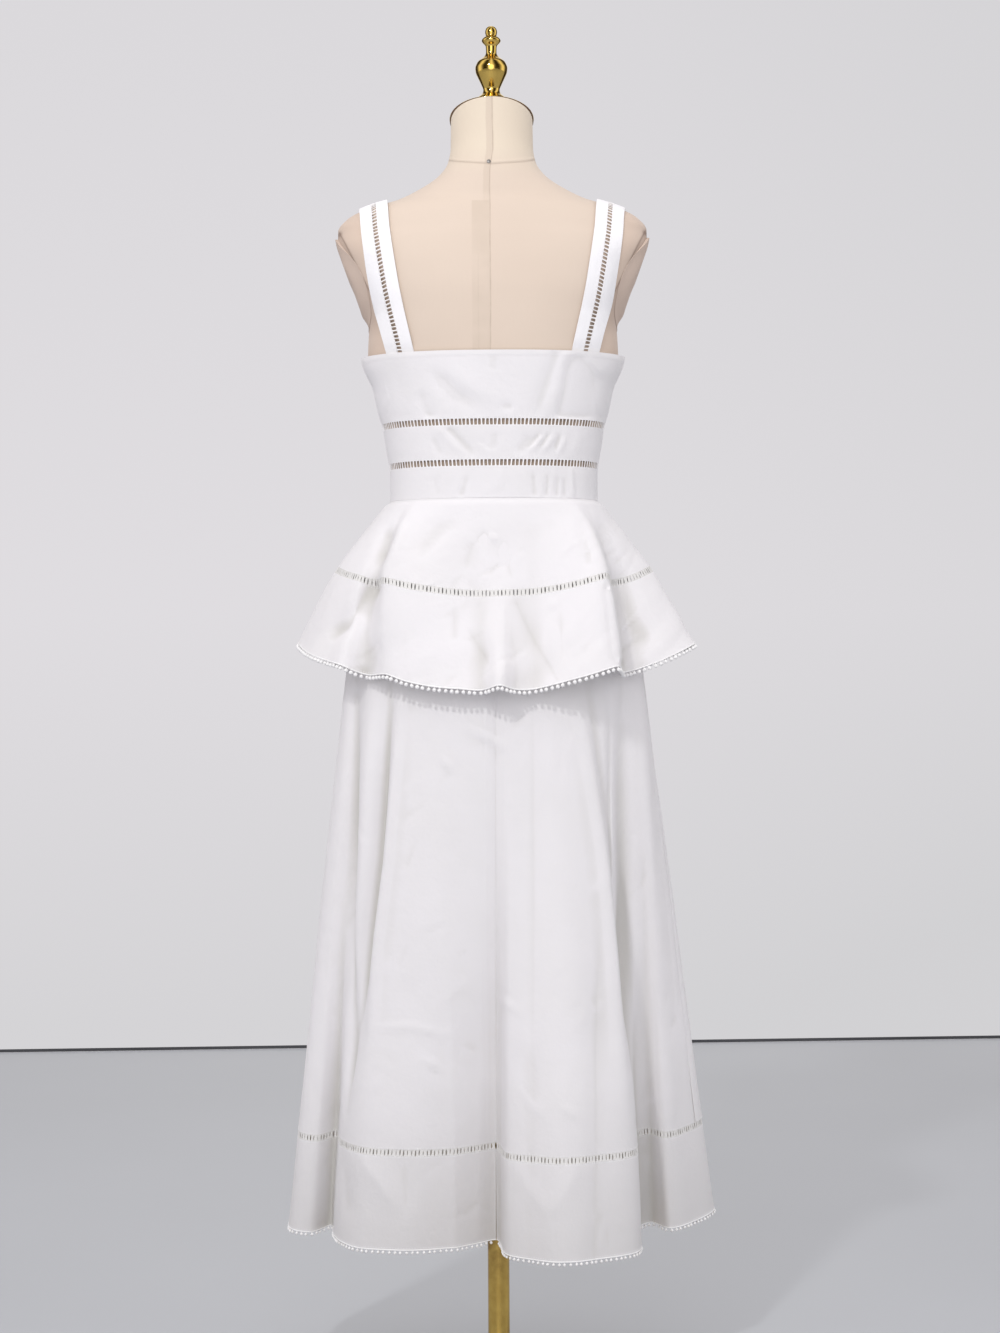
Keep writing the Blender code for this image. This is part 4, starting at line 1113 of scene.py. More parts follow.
class Wire:
    """A shader socket that sums and products can be written with."""

    def __init__(self, tree, socket):
        self.tree = tree
        self.socket = socket

    def maths(self, operation, *values):
        node = self.tree.nodes.new("ShaderNodeMath")
        node.operation = operation
        for socket, value in zip(node.inputs, values, strict=False):
            if isinstance(value, Wire):
                self.tree.links.new(value.socket, socket)
            else:
                socket.default_value = value
        return Wire(self.tree, node.outputs[0])

    def __add__(self, other):
        return self.maths("ADD", self, other)

    def __sub__(self, other):
        return self.maths("SUBTRACT", self, other)

    def __rsub__(self, other):
        return self.maths("SUBTRACT", other, self)

    def __mul__(self, other):
        return self.maths("MULTIPLY", self, other)

    def __truediv__(self, other):
        return self.maths("DIVIDE", self, other)

    def __rtruediv__(self, other):
        return self.maths("DIVIDE", other, self)

    def __pow__(self, other):
        return self.maths("POWER", self, other)

    def __abs__(self):
        return self.maths("ABSOLUTE", self)

    __radd__ = __add__
    __rmul__ = __mul__

    def sine(self):
        return self.maths("SINE", self)

    def held(self):
        """No less than 0 and no more than 1."""
        return self.maths("MINIMUM", self.maths("MAXIMUM", self, 0.0), 1.0)

    def above(self, low, high):
        """0 below low, 1 over high. low may be the larger."""
        return ((self - low) / (high - low)).held()

    def bell(self, middle, width):
        """1 at the middle, falling smoothly to 0 within about two widths."""
        return 1 / (1 + ((self - middle) / width) ** 2) ** 2


class Finish:
    """A material's nodes, added by one method."""

    def __init__(self, name, world=None):
        self.material = world or bpy.data.materials.new(name)
        self.material.use_nodes = True
        self.tree = self.material.node_tree
        self.tree.nodes.clear()

    def node(self, kind, settings=None, sockets=None, take=0):
        made = self.tree.nodes.new(kind)
        for key, value in (settings or {}).items():
            setattr(made, key, value)
        for key, value in (sockets or {}).items():
            if isinstance(value, Wire):
                self.tree.links.new(value.socket, made.inputs[key])
            else:
                made.inputs[key].default_value = value
        return Wire(self.tree, made.outputs[take])

    def place(self):
        """The place on the object, as one vector."""
        return self.node("ShaderNodeTexCoord", take="Object")

    def parts(self, vector):
        """x, y and z of a vector, as values."""
        outputs = self.node("ShaderNodeSeparateXYZ", sockets={0: vector}).socket.node.outputs
        return tuple(Wire(self.tree, outputs[i]) for i in range(3))

    def mark(self, label):
        return self.node("ShaderNodeAttribute", {"attribute_name": label}, take="Fac")

    def noise(self, vector, scale, detail=2.0, rough=0.5):
        sockets = {"Vector": vector, "Scale": scale, "Detail": detail, "Roughness": rough}
        return self.node("ShaderNodeTexNoise", None, sockets)

    def drawn(self, vector, scales, detail):
        """Noise that is drawn out, with its own scale along each axis."""
        mapped = self.node("ShaderNodeMapping", None, {"Vector": vector, "Scale": scales})
        return self.noise(mapped, 1.0, detail)

    def mix(self, share, first, second):
        sockets = {0: share}
        for key, colour in ((6, first), (7, second)):
            sockets[key] = colour if isinstance(colour, Wire) else (*colour, 1.0)
        return self.node("ShaderNodeMix", {"data_type": "RGBA"}, sockets, take=2)

    def done(self, colour, roughness, height=None, strength=1.0, through=None, **fixed):
        """Ends the material: a Principled shader, with a bump from a height where one is given.

        through is the share of light that the cloth lets through, and its colour.
        """
        sockets = {"Base Color": colour, "Roughness": roughness}
        sockets.update({key.replace("_", " ").title(): value for key, value in fixed.items()})
        if height is not None:
            bump = {"Height": height, "Distance": BUMP_DEPTH, "Strength": strength}
            sockets["Normal"] = self.node("ShaderNodeBump", None, bump)
        shader = self.node("ShaderNodeBsdfPrincipled", None, sockets)
        if through:
            behind = self.node("ShaderNodeBsdfTranslucent", None, {"Color": (*through[1], 1.0)})
            shader = self.node("ShaderNodeMixShader", None, {0: through[0], 1: shader, 2: behind})
        return self.ended("ShaderNodeOutputMaterial", shader)

    def ended(self, kind, shader):
        output = self.tree.nodes.new(kind)
        self.tree.links.new(shader.socket, output.inputs["Surface"])
        return self.material


def cotton_finish(name, colour, through):
    """Plain poplin: a fine square weave, slubs, and soft marks of pressing and wear, with painted shade in
    its folds and creases and towards the hem.
    """
    colours = bpy.context.scene.dress_colours
    finish = Finish(name)
    place = finish.place()
    _, _, z = finish.parts(place)
    thread = 2 * math.pi / WEAVE
    cloth = (finish.mark("along") * thread).sine() * (finish.mark("down") * thread).sine()
    slub = finish.drawn(place, (900.0, 900.0, 120.0), 3.0)
    rumple = finish.noise(place, 55.0, 3.0, 0.55)
    wide = finish.noise(place, 14.0)
    crinkle = abs(finish.noise(place, 34.0, 3.0, 0.6) - 0.5) * -1
    crackle = abs(finish.noise(place, 95.0) - 0.5) * -1
    height = cloth * 0.016 + slub * 0.07 + rumple * 0.5 + crinkle * 1.3 + crackle * 0.35
    tint = finish.mix((wide - 0.35) * 1.2, colour, colours.cotton_shade)
    tint = finish.mix((slub - 0.5).held() * 0.25, tint, colours.cotton_shade)
    # painted shade: the cloth darkens towards the hem
    tint = finish.mix(z.above(*LOW_CLOTH_SHADE) * 0.9, tint, colours.cotton_low_shade)
    # painted shade: the poplin darkens and warms in its folds and creases
    tint = finish.mix(finish.mark("hollow").held() * 0.85, tint, colours.cotton_hollow_shade)
    letting = (through, colours.cotton_behind)
    return finish.done(tint, rumple * 0.1 + 0.86, height, strength=0.8, through=letting, sheen_weight=0.08)


def fibre_finish(name, first, second, grain, share, roughness, bump, strength, **fixed):
    """A fine noise that mixes two colours and raises the surface a little.

    grain is the noise's scale, detail and roughness. share is where the mix starts and its growth.
    """
    finish = Finish(name)
    fibre = finish.noise(finish.place(), *grain)
    tint = finish.mix((fibre - share[0]) * share[1], first, second)
    return finish.done(tint, roughness, fibre * bump, strength=strength, **fixed)


def openwork_finish(name, colour):
    shade = tuple(part * 0.96 for part in colour)
    return fibre_finish(name, colour, shade, (1500.0,), (0.4, 1.5), 0.82, 0.25, 0.6)


def fluff_finish():
    colours = bpy.context.scene.dress_colours
    pair = (colours.bobble, colours.cotton_shade)
    grain = (2600.0, 3.0, 0.7)
    return fibre_finish("bobble_cotton", *pair, grain, (0.35, 1.4), 0.9, 0.5, 0.8, sheen_weight=0.2)


def thread_finish():
    colours = bpy.context.scene.dress_colours
    pair = (colours.thread, colours.cotton_shade)
    return fibre_finish("sewing_thread", *pair, (4000.0, 1.0), (0.0, 1.0), 0.6, 0.1, 0.5)


def felt_finish():
    return fibre_finish("cap_felt", *FELT_BROWNS, (1200.0, 3.0), (0.0, 1.0), 0.9, 0.3, 0.6)


def steel_finish():
    finish = Finish("pin_steel")
    cloud = finish.noise(finish.place(), 600.0)
    return finish.done(finish.mix(cloud, *STEEL_GREYS), cloud * 0.2 + 0.3, metallic=0.6)


def linen_finish():
    """The form's cover: fine jersey with its seams and the strip behind the back seam; painted light on the
    neck, painted shade in tan on the sides and painted shade under the dress.
    """
    colours = bpy.context.scene.dress_colours
    finish = Finish("form_linen")
    place = finish.place()
    x, y, z = finish.parts(place)
    aside = abs(x)
    behind = (y * -1).above(-0.005, 0.005)
    rib = finish.drawn(place, (700.0, 700.0, 60.0), 3.0)
    cloud = finish.noise(place, 9.0)
    wander = (finish.noise(place, 18.0, 1.0) - 0.5) * 0.003

    # The back seam, the doubled strip beside it on the neck, and the seam round the neck
    seam_place = x + wander + BACK_SEAM - z.above(1.445, 1.47) * 0.0034
    seam = seam_place.bell(0.0, 0.0008) * behind * (finish.noise(place, 70.0) * 1.4 + 0.1)
    neck_band = seam_place.above(-0.0085, -0.0070) * seam_place.above(0.0004, -0.0004)
    neck_band = neck_band * z.above(1.40, 1.42) * behind
    neck_place = z - y * 0.21 - (aside * 0.05) + wander * 0.6
    neck_line = neck_place.bell(NECK_SEAM, 0.0011)
    neck_ridge = neck_place.bell(NECK_SEAM + 2.4 * MM, 0.0016)

    # The worn strip and the dashed chalk line on the back
    strip = x.above(-0.0245, -0.0230) * x.above(-0.0025, -0.0040) * z.above(1.408, 1.4065) * behind
    worn = finish.noise(place, 30.0, 3.0) * 1.9 - 0.45 + z.above(1.33, 1.40) * 0.35
    strip = strip * worn.held()
    dashes = x.bell(-0.0165, 0.0009) * z.above(1.345, 1.335) * behind * finish.noise(place, 90.0, 1.0)

    # Painted shade: the sides beside the arms take the pads' tan, and the cover darkens where the dress and
    # its straps lie over it
    edge = z.above(1.20, 1.33) * 0.018 + z.above(1.33, 1.40) * 0.014
    tan = (aside - edge).above(0.1095, 0.1115) * z.above(1.19, 1.20)
    tack = aside.above(0.177, 0.182) * z.bell(SHOULDER_TIP, 0.0035)
    strap_middle = z.above(BODICE_TOP, 1.33) * 0.024 + z.above(1.33, 1.40) * 0.010 + 0.109
    under_bodice = z.above(1.232, 1.224) * (1 - aside.above(0.086, 0.110) * 0.75)
    under_strap = (aside - strap_middle).bell(0.0, 0.006) * z.above(1.40, 1.27)

    colour = finish.mix((cloud - 0.35) * 1.2, colours.linen, colours.linen_shade)
    for share, layer in (
        ((rib - 0.45).held() * 0.5, colours.linen_shade),
        # painted light: the neck is lighter and a little yellower
        (z.above(1.44, 1.475) * 0.9, colours.linen_neck_light),
        ((strip * 0.75 + neck_band * 0.6 + dashes * 0.6).held(), colours.linen_mark),
        ((seam * 0.7 + neck_line * 0.5).held(), colours.linen_seam),
        # painted shade: the sides beside the arms take the pads' tan
        (tan, colours.armhole),
        ((tack * 0.8 + armhole_band(aside, z)).held(), colours.armhole_seam),
        ((under_bodice + under_strap).held() * 0.9, colours.linen_covered),
    ):
        colour = finish.mix(share, colour, layer)
    height = rib * 0.10 - seam * 0.5 - neck_line * 0.9 + neck_ridge * 0.8 + strip * 0.12 + neck_band * 0.3
    return finish.done(colour, 0.74, height, strength=0.5, sheen_weight=0.12)


def armhole_band(aside, z):
    """The bound strip that runs from each shoulder tip down to the dress: how dark it is."""
    inside = aside - (z - 1.374) * 0.5 - 0.180
    tip = z.above(1.383, 1.377) * z.above(1.25, 1.27)
    return (inside.bell(0.0, 0.0014) * 0.62 + inside.above(-0.0006, 0.0006) * 0.34) * tip


def tan_finish():
    colours = bpy.context.scene.dress_colours
    finish = Finish("armhole_tan")
    place = finish.place()
    x, _, z = finish.parts(place)
    rib = finish.noise(place, 800.0, 3.0)
    cloud = finish.noise(place, 30.0)
    colour = finish.mix((cloud - 0.3) * 1.5, colours.armhole, colours.armhole_edge)
    colour = finish.mix(finish.mark("hollow") * 0.6, colour, colours.armhole_seam)
    colour = finish.mix(armhole_band(abs(x), z), colour, colours.armhole_seam)
    return finish.done(colour, 0.7, rib * 0.2, strength=0.5, sheen_weight=0.15)


def brass_finish():
    """Warm polished brass with faint lathe lines and cloudy wear; the pole is browner, with a painted shadow
    of the skirt from its hem upwards.
    """
    colours = bpy.context.scene.dress_colours
    finish = Finish("warm_brass")
    place = finish.place()
    _, _, z = finish.parts(place)
    cloud = finish.noise(place, 45.0, 4.0, 0.6)
    lines = finish.drawn(place, (30.0, 30.0, 900.0), 2.0)
    colour = finish.mix((cloud - 0.35) * 1.8, colours.brass, colours.brass_dark)
    pole = z.above(0.055, 0.06) * z.above(0.80, 0.79)
    # painted shadow of the skirt from the hem upwards, over a pole that is browner all along
    shaded = pole * (z.above(0.12, 0.17) * 0.6 + 0.35) * (cloud * 1.6 - 0.1).held()
    colour = finish.mix(shaded, colour, colours.brass_pole_brown_and_shadow)
    return finish.done(colour, cloud * 0.12 + 0.07, lines * 0.02, strength=0.4, metallic=1.0)


def shell_finish():
    """Pale pearly button: soft bands, and painted shade in its thread holes."""
    colours = bpy.context.scene.dress_colours
    finish = Finish("button_shell")
    bands = finish.drawn(finish.place(), (160.0, 160.0, 420.0), 2.0)
    colour = finish.mix((bands - 0.3) * 1.6, colours.button, SHELL_BAND)
    # painted shade in the thread holes, by their depth
    colour = finish.mix(finish.mark("along"), colour, SHELL_HOLE_SHADE)
    return finish.done(colour, bands * 0.1 + 0.22, bands * 0.05, strength=0.3, coat_weight=0.3)


def finish_of(name, make, *given):
    """The finish of this name, made once."""
    return bpy.data.materials.get(name) or make(*given)


def cotton(doubled=False):
    """The poplin's finish; doubled, as in a strap, it is whiter and lets less light through."""
    colours = bpy.context.scene.dress_colours
    if doubled:
        return finish_of("poplin_doubled", cotton_finish, "poplin_doubled", colours.cotton_doubled, 0.05)
    return finish_of("poplin", cotton_finish, "poplin", colours.cotton, colours.through)


def cloth_piece(name, grid, thickness=None):
    """A fine wall of poplin that stands for the node of the same name."""
    pile = Pile()
    pile.wall(grid, thickness or bpy.context.scene.dress_sizes.cloth)
    return placed(pile.object(f"{name}_cloth", cotton(name.startswith("strap"))), "cotton", name)


def front_line(x, down):
    """The skirt's surface near the centre front, as far down as asked, at an x."""
    first = [row[0] for row in SKIRT_FOLDS].index("placket right")
    points = []
    for at in (first, first + 0.5, first + 1):
        levels = skirt_levels(at)
        reach = reach_of(levels)
        points.append(Line(reach, levels)(down * reach[-1]))
    points = np.array(points)
    order = np.argsort(points[:, 0])
    return np.array([np.interp(x, points[order, 0], points[order, i]) for i in range(3)])


def bodice_front_points(x, z):
    """Places on the bodice's button band."""
    return form_points(180 + angle_at_x(x, z, FIT), z, FIT + LAY + PLACKET_WALL)


def length_property(label, words, default):
    return bpy.props.FloatProperty(name=label, description=words, default=default, unit="LENGTH", precision=5)


def angle_property(label, words, degrees):
    return bpy.props.FloatProperty(
        name=label, description=words, default=math.radians(degrees), subtype="ANGLE", unit="ROTATION"
    )


def share_property(label, words, default, most):
    return bpy.props.FloatProperty(
        name=label, description=words, default=default, min=0.0, max=most, subtype="FACTOR"
    )


def power_property(label, words, watts):
    return bpy.props.FloatProperty(name=label, description=words, default=watts, min=0.0)


def colour_property(label, words, default):
    return bpy.props.FloatVectorProperty(
        name=label, description=words, default=default, size=3, min=0.0, max=1.0, subtype="COLOR"
    )


class DressSizes(bpy.types.PropertyGroup):
    cloth: length_property("Cloth", "Thickness of the poplin", 0.0008)
    bar_pitch: length_property("Bar pitch", "Distance between the openwork's bars", 0.0046)
    bar_width: length_property("Bar width", "Width of an openwork bar at its middle", 0.0014)
    bobble: length_property("Bobble", "Diameter of a pompon of the peplum", 0.0047)
    hem_bobble: length_property("Hem bobble", "Diameter of a pompon of the skirt's hem", 0.0035)
    bobble_pitch: length_property("Bobble pitch", "Distance between pompons", 0.0068)
    stitch: length_property("Stitch", "Length of a stitch", 0.0025)
    stitch_gap: length_property("Stitch gap", "Gap between stitches", 0.0008)
    button_radius: length_property("Button radius", "Radius of a button", 0.0055)


class DressColours(bpy.types.PropertyGroup):
    cotton: colour_property("Cotton", "The poplin", (0.965, 0.945, 0.962))
    cotton_doubled: colour_property("Cotton doubled", "The straps' doubled poplin", (0.985, 0.97, 0.985))
    cotton_shade: colour_property("Cotton shade", "The poplin's thick, worn threads", (0.91, 0.893, 0.895))
    # painted shade of the poplin in its folds and creases
    cotton_hollow_shade: colour_property("Cotton hollow", "The poplin in its folds", (0.66, 0.643, 0.605))
    # painted shade of the poplin towards the hem
    cotton_low_shade: colour_property("Cotton low", "The poplin towards the hem", (0.765, 0.75, 0.75))
    cotton_behind: colour_property("Cotton behind", "Light through the poplin", (0.92, 0.885, 0.82))
    through: share_property("Let through", "Share of light that the poplin lets through", 0.2, 1.0)
    openwork: colour_property("Openwork", "The insertions' bars", (0.92, 0.90, 0.90))
    # painted shade: a darker copy of the openwork's white, for the bars of the peplum and the skirt
    openwork_hanging_shade: colour_property("Hanging openwork", "Bars of peplum and skirt", (0.76, 0.745, 0.72))
    bobble: colour_property("Bobble", "The pompons", (0.95, 0.94, 0.93))
    thread: colour_property("Thread", "The stitching", (0.93, 0.91, 0.92))
    linen: colour_property("Linen", "The form's cover", (0.715, 0.595, 0.492))
    linen_shade: colour_property("Linen shade", "The cover's darker threads", (0.67, 0.55, 0.452))
    # painted light on the neck, lighter and a little yellower
    linen_neck_light: colour_property("Linen neck", "The cover on the neck", (0.77, 0.665, 0.53))
    linen_mark: colour_property("Linen mark", "The strip behind the back seam", (0.63, 0.52, 0.42))
    linen_covered: colour_property("Linen covered", "The cover in the dress's shade", (0.37, 0.285, 0.22))
    linen_seam: colour_property("Linen seam", "The cover's seams", (0.47, 0.37, 0.29))
    # the pads' tan, also painted as shade on the form's sides beside the arms
    armhole: colour_property("Armhole", "The tan sides", (0.67, 0.53, 0.43))
    armhole_seam: colour_property("Armhole seam", "The bound edge of the pads", (0.30, 0.205, 0.155))
    armhole_edge: colour_property("Armhole edge", "The pads' edges", (0.54, 0.41, 0.325))
    brass: colour_property("Brass", "The brass", (0.78, 0.55, 0.15))
    brass_dark: colour_property("Dark brass", "Worn brass", (0.62, 0.40, 0.09))
    # the pole's browner brass, also its painted shadow under the skirt
    brass_pole_brown_and_shadow: colour_property("Pole brass", "The browned brass of the pole", (0.24, 0.14, 0.05))
    button: colour_property("Button", "The buttons", (0.80, 0.78, 0.75))


class DressFolds(bpy.types.PropertyGroup):
    crease: share_property("Creases", "Strength of the pressed creases", 1.0, 1.5)


class DressStage(bpy.types.PropertyGroup):
    eye_height: length_property("Eye height", "Height of the camera", 0.86)
    eye_distance: length_property("Eye distance", "Distance of the camera from the pole", 3.2)
    eye_aside: length_property("Eye aside", "The camera's place to the right of the pole", 0.006)
    lean: angle_property("Lean", "Lean of the picture", 0.35)
    floor_end: length_property("Floor end", "Where the floor ends behind the form", 2.85)
    floor_slant: angle_property("Floor slant", "Turn of the floor's far edge", 3.2)
    floor_colour: colour_property("Floor", "The floor", (0.48, 0.495, 0.525))
    wall_colour: colour_property("Wall", "The wall", (0.74, 0.72, 0.745))
    wall_shade: colour_property("Wall shade", "The wall's corners", (0.645, 0.64, 0.655))
    key: power_property("Key light", "Power of the main light in watts", 35.5)
    fill: power_property("Fill light", "Power of the second light in watts", 13.2)


def flat_panel(name, corners, material):
    """One flat face of the stage."""
    mesh = bpy.data.meshes.new(name)
    mesh.from_pydata(corners, [], [(0, 1, 2, 3)])
    mesh.materials.append(material)
    panel = bpy.data.objects.new(name, mesh)
    bpy.context.scene.collection.objects.link(panel)
    return panel


def floor_finish(paint):
    finish = Finish("floor_paint")
    place = finish.place()
    cloud = finish.noise(place, 1.2, 3.0)
    speck = finish.noise(place, 300.0)
    tint = finish.mix((cloud - 0.3) * 1.2, paint, tuple(part * 0.93 for part in paint))
    return finish.done(tint, 0.55, speck * 0.1, strength=0.2)


# painted shadow: the dark line where the floor meets the wall
def shadow_line_finish():
    finish = Finish("painted_shadow_line")
    cloud = finish.noise(finish.place(), 3.0)
    return finish.done(finish.mix(cloud, *SHADOW_LINE_GREYS), 0.6)


def pale_room(stage):
    """The wall that the camera sees, a brighter room for the cloth, more so from the right, and soft windows
    for the brass.
    """
    world = bpy.data.worlds.new("pale_room")
    bpy.context.scene.world = world
    sky = Finish("pale_room", world)
    x, y, z = sky.parts(sky.node("ShaderNodeTexCoord", take="Generated"))
    far = (z.above(0.02, -0.13) * 0.8 + x.above(0.0, 0.2) * 0.45 + z.above(0.04, 0.26) * 0.35).held()
    wall = sky.mix(far, stage.wall_colour, stage.wall_shade)
    cross = x * y / (x * x + y * y + 0.001)
    windows = (1 - cross * cross * 4).held() ** 2
    mirrored = sky.mix(windows, *MIRRORED_ROOM)
    glossy = sky.node("ShaderNodeLightPath", take="Is Glossy Ray")
    spread = sky.node("ShaderNodeLightPath", take="Is Diffuse Ray") * (x.above(0.2, 0.9) * 0.32 + 0.24) + 1
    sockets = {"Color": sky.mix(glossy, wall, mirrored), "Strength": spread}
    sky.ended("ShaderNodeOutputWorld", sky.node("ShaderNodeBackground", None, sockets))


def studio_light(name, place, aim, size, power):
    data = bpy.data.lights.new(name, "AREA")
    data.shape = "DISK"
    data.size = size
    data.energy = power
    light = bpy.data.objects.new(name, data)
    light.location = place
    light.rotation_euler = (Vector(aim) - Vector(place)).to_track_quat("-Z", "Y").to_euler()
    bpy.context.scene.collection.objects.link(light)


class DRESS_OT_stage(bpy.types.Operator):
    """Floor, pale surroundings, soft lights and the camera"""

    bl_idname = "dress.stage"
    bl_label = "Stage"

    def execute(self, context):
        stage = context.scene.dress_stage
        slant = math.tan(stage.floor_slant) * FLOOR_REACH
        far_right = (FLOOR_REACH, stage.floor_end + slant)
        far_left = (-FLOOR_REACH, stage.floor_end - slant)
        near = [(-FLOOR_REACH, -FLOOR_REACH), (FLOOR_REACH, -FLOOR_REACH)]
        corners = [(*corner, FLOOR_LEVEL) for corner in (*near, far_right, far_left)]
        floor = flat_panel("studio_floor", corners, floor_finish(stage.floor_colour))
        # a dark strip at the floor's far end, a painted shadow line
        corners = [(*far_left, 0), (*far_right, 0), (*far_right, SHADOW_LINE_HEIGHT), (*far_left, SHADOW_LINE_HEIGHT)]
        edge = flat_panel("floor_shadow_line", corners, shadow_line_finish())
        pale_room(stage)
        studio_light("key_light", *KEY_LIGHT, stage.key)
        studio_light("fill_light", *FILL_LIGHT, stage.fill)
        lens = bpy.data.cameras.new("eye")
        lens.lens = LENS
        lens.sensor_width = SENSOR
        eye = bpy.data.objects.new("eye", lens)
        eye.matrix_world = (
            Matrix.Translation((stage.eye_aside, -stage.eye_distance, stage.eye_height))
            @ Matrix.Rotation(math.radians(90), 4, "X")
            @ Matrix.Rotation(-stage.lean, 4, "Z")
        )
        context.scene.collection.objects.link(eye)
        context.scene.camera = eye
        context.scene.view_settings.view_transform = "Standard"
        return {"FINISHED"}


def torso():
    """The form's body, from its closed bottom to the neck's flat top."""
    angles = np.linspace(0, 360, 129)[:-1]
    low = np.linspace(FORM_BOTTOM, FINE_ABOVE, 50)[:-1]
    heights = np.concatenate([low, np.linspace(FINE_ABOVE, NECK_TOP, 80)])
    rings = form_points(angles[None, :], heights[:, None])
    closed = []
    for ring, shares in ((rings[0], (0.02, 0.5, 0.96, 0.99)), (rings[-1], (0.98, 0.5, 0.02))):
        middle = ring.mean(axis=0)
        closed.append(np.array([middle + (ring - middle) * share for share in shares]))
    grid = np.concatenate([closed[0], rings, closed[1]])
    pile = Pile()
    pile.add(grid, ring_faces(*grid.shape[:2], upward=True))
    placed(pile.object("form_cover", linen_finish()), "form_linen", "form_torso")


def armhole_pad(side, label):
    """The tan pad over one arm's end: a low cushion with a flat face that leans outwards."""
    turn = full_turn(64)
    rings = np.linspace(0.03, 1.0, 16)[:, None]
    y = side * PLATE_HALF_DEPTH * rings * np.cos(turn)
    z = PLATE_MIDDLE + PLATE_HALF_HEIGHT * rings * np.sin(turn)
    half, back, front, square, _ = np.moveaxis(FORM(z), -1, 0)
    depth = np.where(y < 0, back, front)
    x = half * (1 - np.abs(y / depth) ** square) ** (1 / square) + 0.4 * MM
    flat = PAD_FACE + (z - PAD_LOW) * PAD_LEAN
    open_top = ease(np.sin(turn), 0.5, 1.0)[None, :]
    swell = 1 - ease(rings, 0.6, 1.0) * (1 - 0.6 * open_top)
    proud = np.clip(flat - x, 1 * MM, PAD_SWELL) * swell
    outer = np.stack([side * (x + proud + TOUCH), y, z], axis=-1)
    inner = np.stack([side * (x - 0.2 * MM), y, z], axis=-1)
    both = np.concatenate([outer, inner[::-1]])
    rim = np.zeros(both.shape[:2])
    rim[PAD_RIM:-PAD_RIM] = 1.0
    pad = Pile()
    pad.add(both, ring_faces(*both.shape[:2]), hollow=rim)
    tan = finish_of("armhole_tan", tan_finish)
    placed(pad.object(f"armhole_pad_{label}", tan), "armhole_tan", f"armhole_plate_{label}")


def neck_pin():
    """The pin's head at the neck's seam, flat on the cover."""
    spot = form_points(-3.4, PIN_HEIGHT, 0.0)
    profile = ((0, 1.4 * MM), (2.3 * MM, 1.0 * MM), (2.5 * MM, 0.2 * MM), (0, 0))
    points, faces = lathe(rounded(profile), 24)
    turned = Vector((0.0, -1.0, 0.25)).to_track_quat("Z", "Y").to_matrix()
    pin = Pile()
    pin.add(spot + points @ np.array(turned).T, faces)
    placed(pin.object("neck_pin", steel_finish()), "brass")


class DRESS_OT_form(bpy.types.Operator):
    """The linen torso with its neck, the tan armhole pads and the pin at the neck's seam"""

    bl_idname = "dress.form"
    bl_label = "Dress form"

    def execute(self, context):
        torso()
        armhole_pad(1, "right")
        armhole_pad(-1, "left")
        neck_pin()
        return {"FINISHED"}


def neck_cap(name, profile, material, *nodes):
    """One layer of the cap, which lies on the neck's slanted top."""
    tilt = np.array(Matrix.Rotation(-math.atan(NECK_TILT), 3, "X"))
    points, faces = lathe(rounded(profile, 0.6 * MM))
    pile = Pile()
    pile.add(np.array((0, 0, NECK_TOP + TOUCH)) + points @ tilt.T, faces)
    placed(pile.object(name, material), "brass", *nodes)


class DRESS_OT_stand(bpy.types.Operator):
    """Brass neck cap, finial, pole, foot collar and round base"""

    bl_idname = "dress.stand"
    bl_label = "Stand"

    def execute(self, context):
        brass = brass_finish()
        rim = CAP_RADIUS
        bevel = 1 * MM
        felt_rim = rim - 0.3 * MM
        disc = ((0, CAP_HEIGHT), (rim - bevel, CAP_HEIGHT), (rim, CAP_HEIGHT - bevel), (rim, FELT), (0, FELT))
        felt = ((0, FELT), (felt_rim, FELT), (felt_rim, 0.05 * MM), (0, 0.05 * MM))
        neck_cap("neck_cap_disc", disc, brass, "neck_cap")
        neck_cap("neck_cap_felt", felt, felt_finish())
        for node, name, corner in (
            ("finial", "finial_turned", 2.2),
            ("foot_collar", "collar_turned", 1.2),
            ("base", "base_turned", 1.0),
            ("pole", "pole_tube", 0.6),
        ):
            profile = rounded(STAND_PROFILES[node], corner * MM)
            points, faces = lathe(rounded(profile, corner * 0.5 * MM))
            if node == "finial":
                lift = NECK_TOP + TOUCH + CAP_HEIGHT
                points[:, 2] = np.maximum(points[:, 2], lift - NECK_TILT * points[:, 1] + TOUCH)
            pile = Pile()
            pile.add(points, faces)
            placed(pile.object(name, brass), "brass", node)
        return {"FINISHED"}


class DRESS_OT_openwork(bpy.types.Operator):
    """The insertions of the bodice, the straps, the peplum and the skirt, with their bars"""

    bl_idname = "dress.openwork"
    bl_label = "Openwork insertions"

    def execute(self, context):
        sizes = context.scene.dress_sizes
        colours = context.scene.dress_colours
        fine = openwork_finish("openwork_cotton", colours.openwork)
        # the peplum's and the skirt's bars take a darker copy of the white, as painted shade
        painted_shade_openwork = openwork_finish("hanging_openwork_painted_shade", colours.openwork_hanging_shade)
        half = OPENING / 2
        grids = {}
        for name, z in (("bodice_ladder_upper", UPPER_LADDER), ("bodice_ladder_lower", LOWER_LADDER)):
            levels = np.array((z + half, z, z - half))[:, None]
            grids[name] = form_points(np.linspace(-180, 180, 300)[None, :], levels, FIT)
        for label in SIDES:
            grids[f"skirt_ladder_{label}"] = skirt_grid(f"skirt_ladder_{label}")
            grids[f"strap_{label}_ladder"] = strap_grid(f"strap_{label}_ladder").transpose(1, 0, 2)[::-1]
        grids["peplum_ladder"] = peplum_grid("peplum_ladder")
        for name, grid in grids.items():
            pile = Pile()
            hanging = name.startswith(("peplum", "skirt"))
            ladder(pile, grid, sizes, HANGING_FULLNESS if hanging else 1.0)
            placed(pile.object(f"{name}_openwork", painted_shade_openwork if hanging else fine), "ladder_cotton", name)
        return {"FINISHED"}


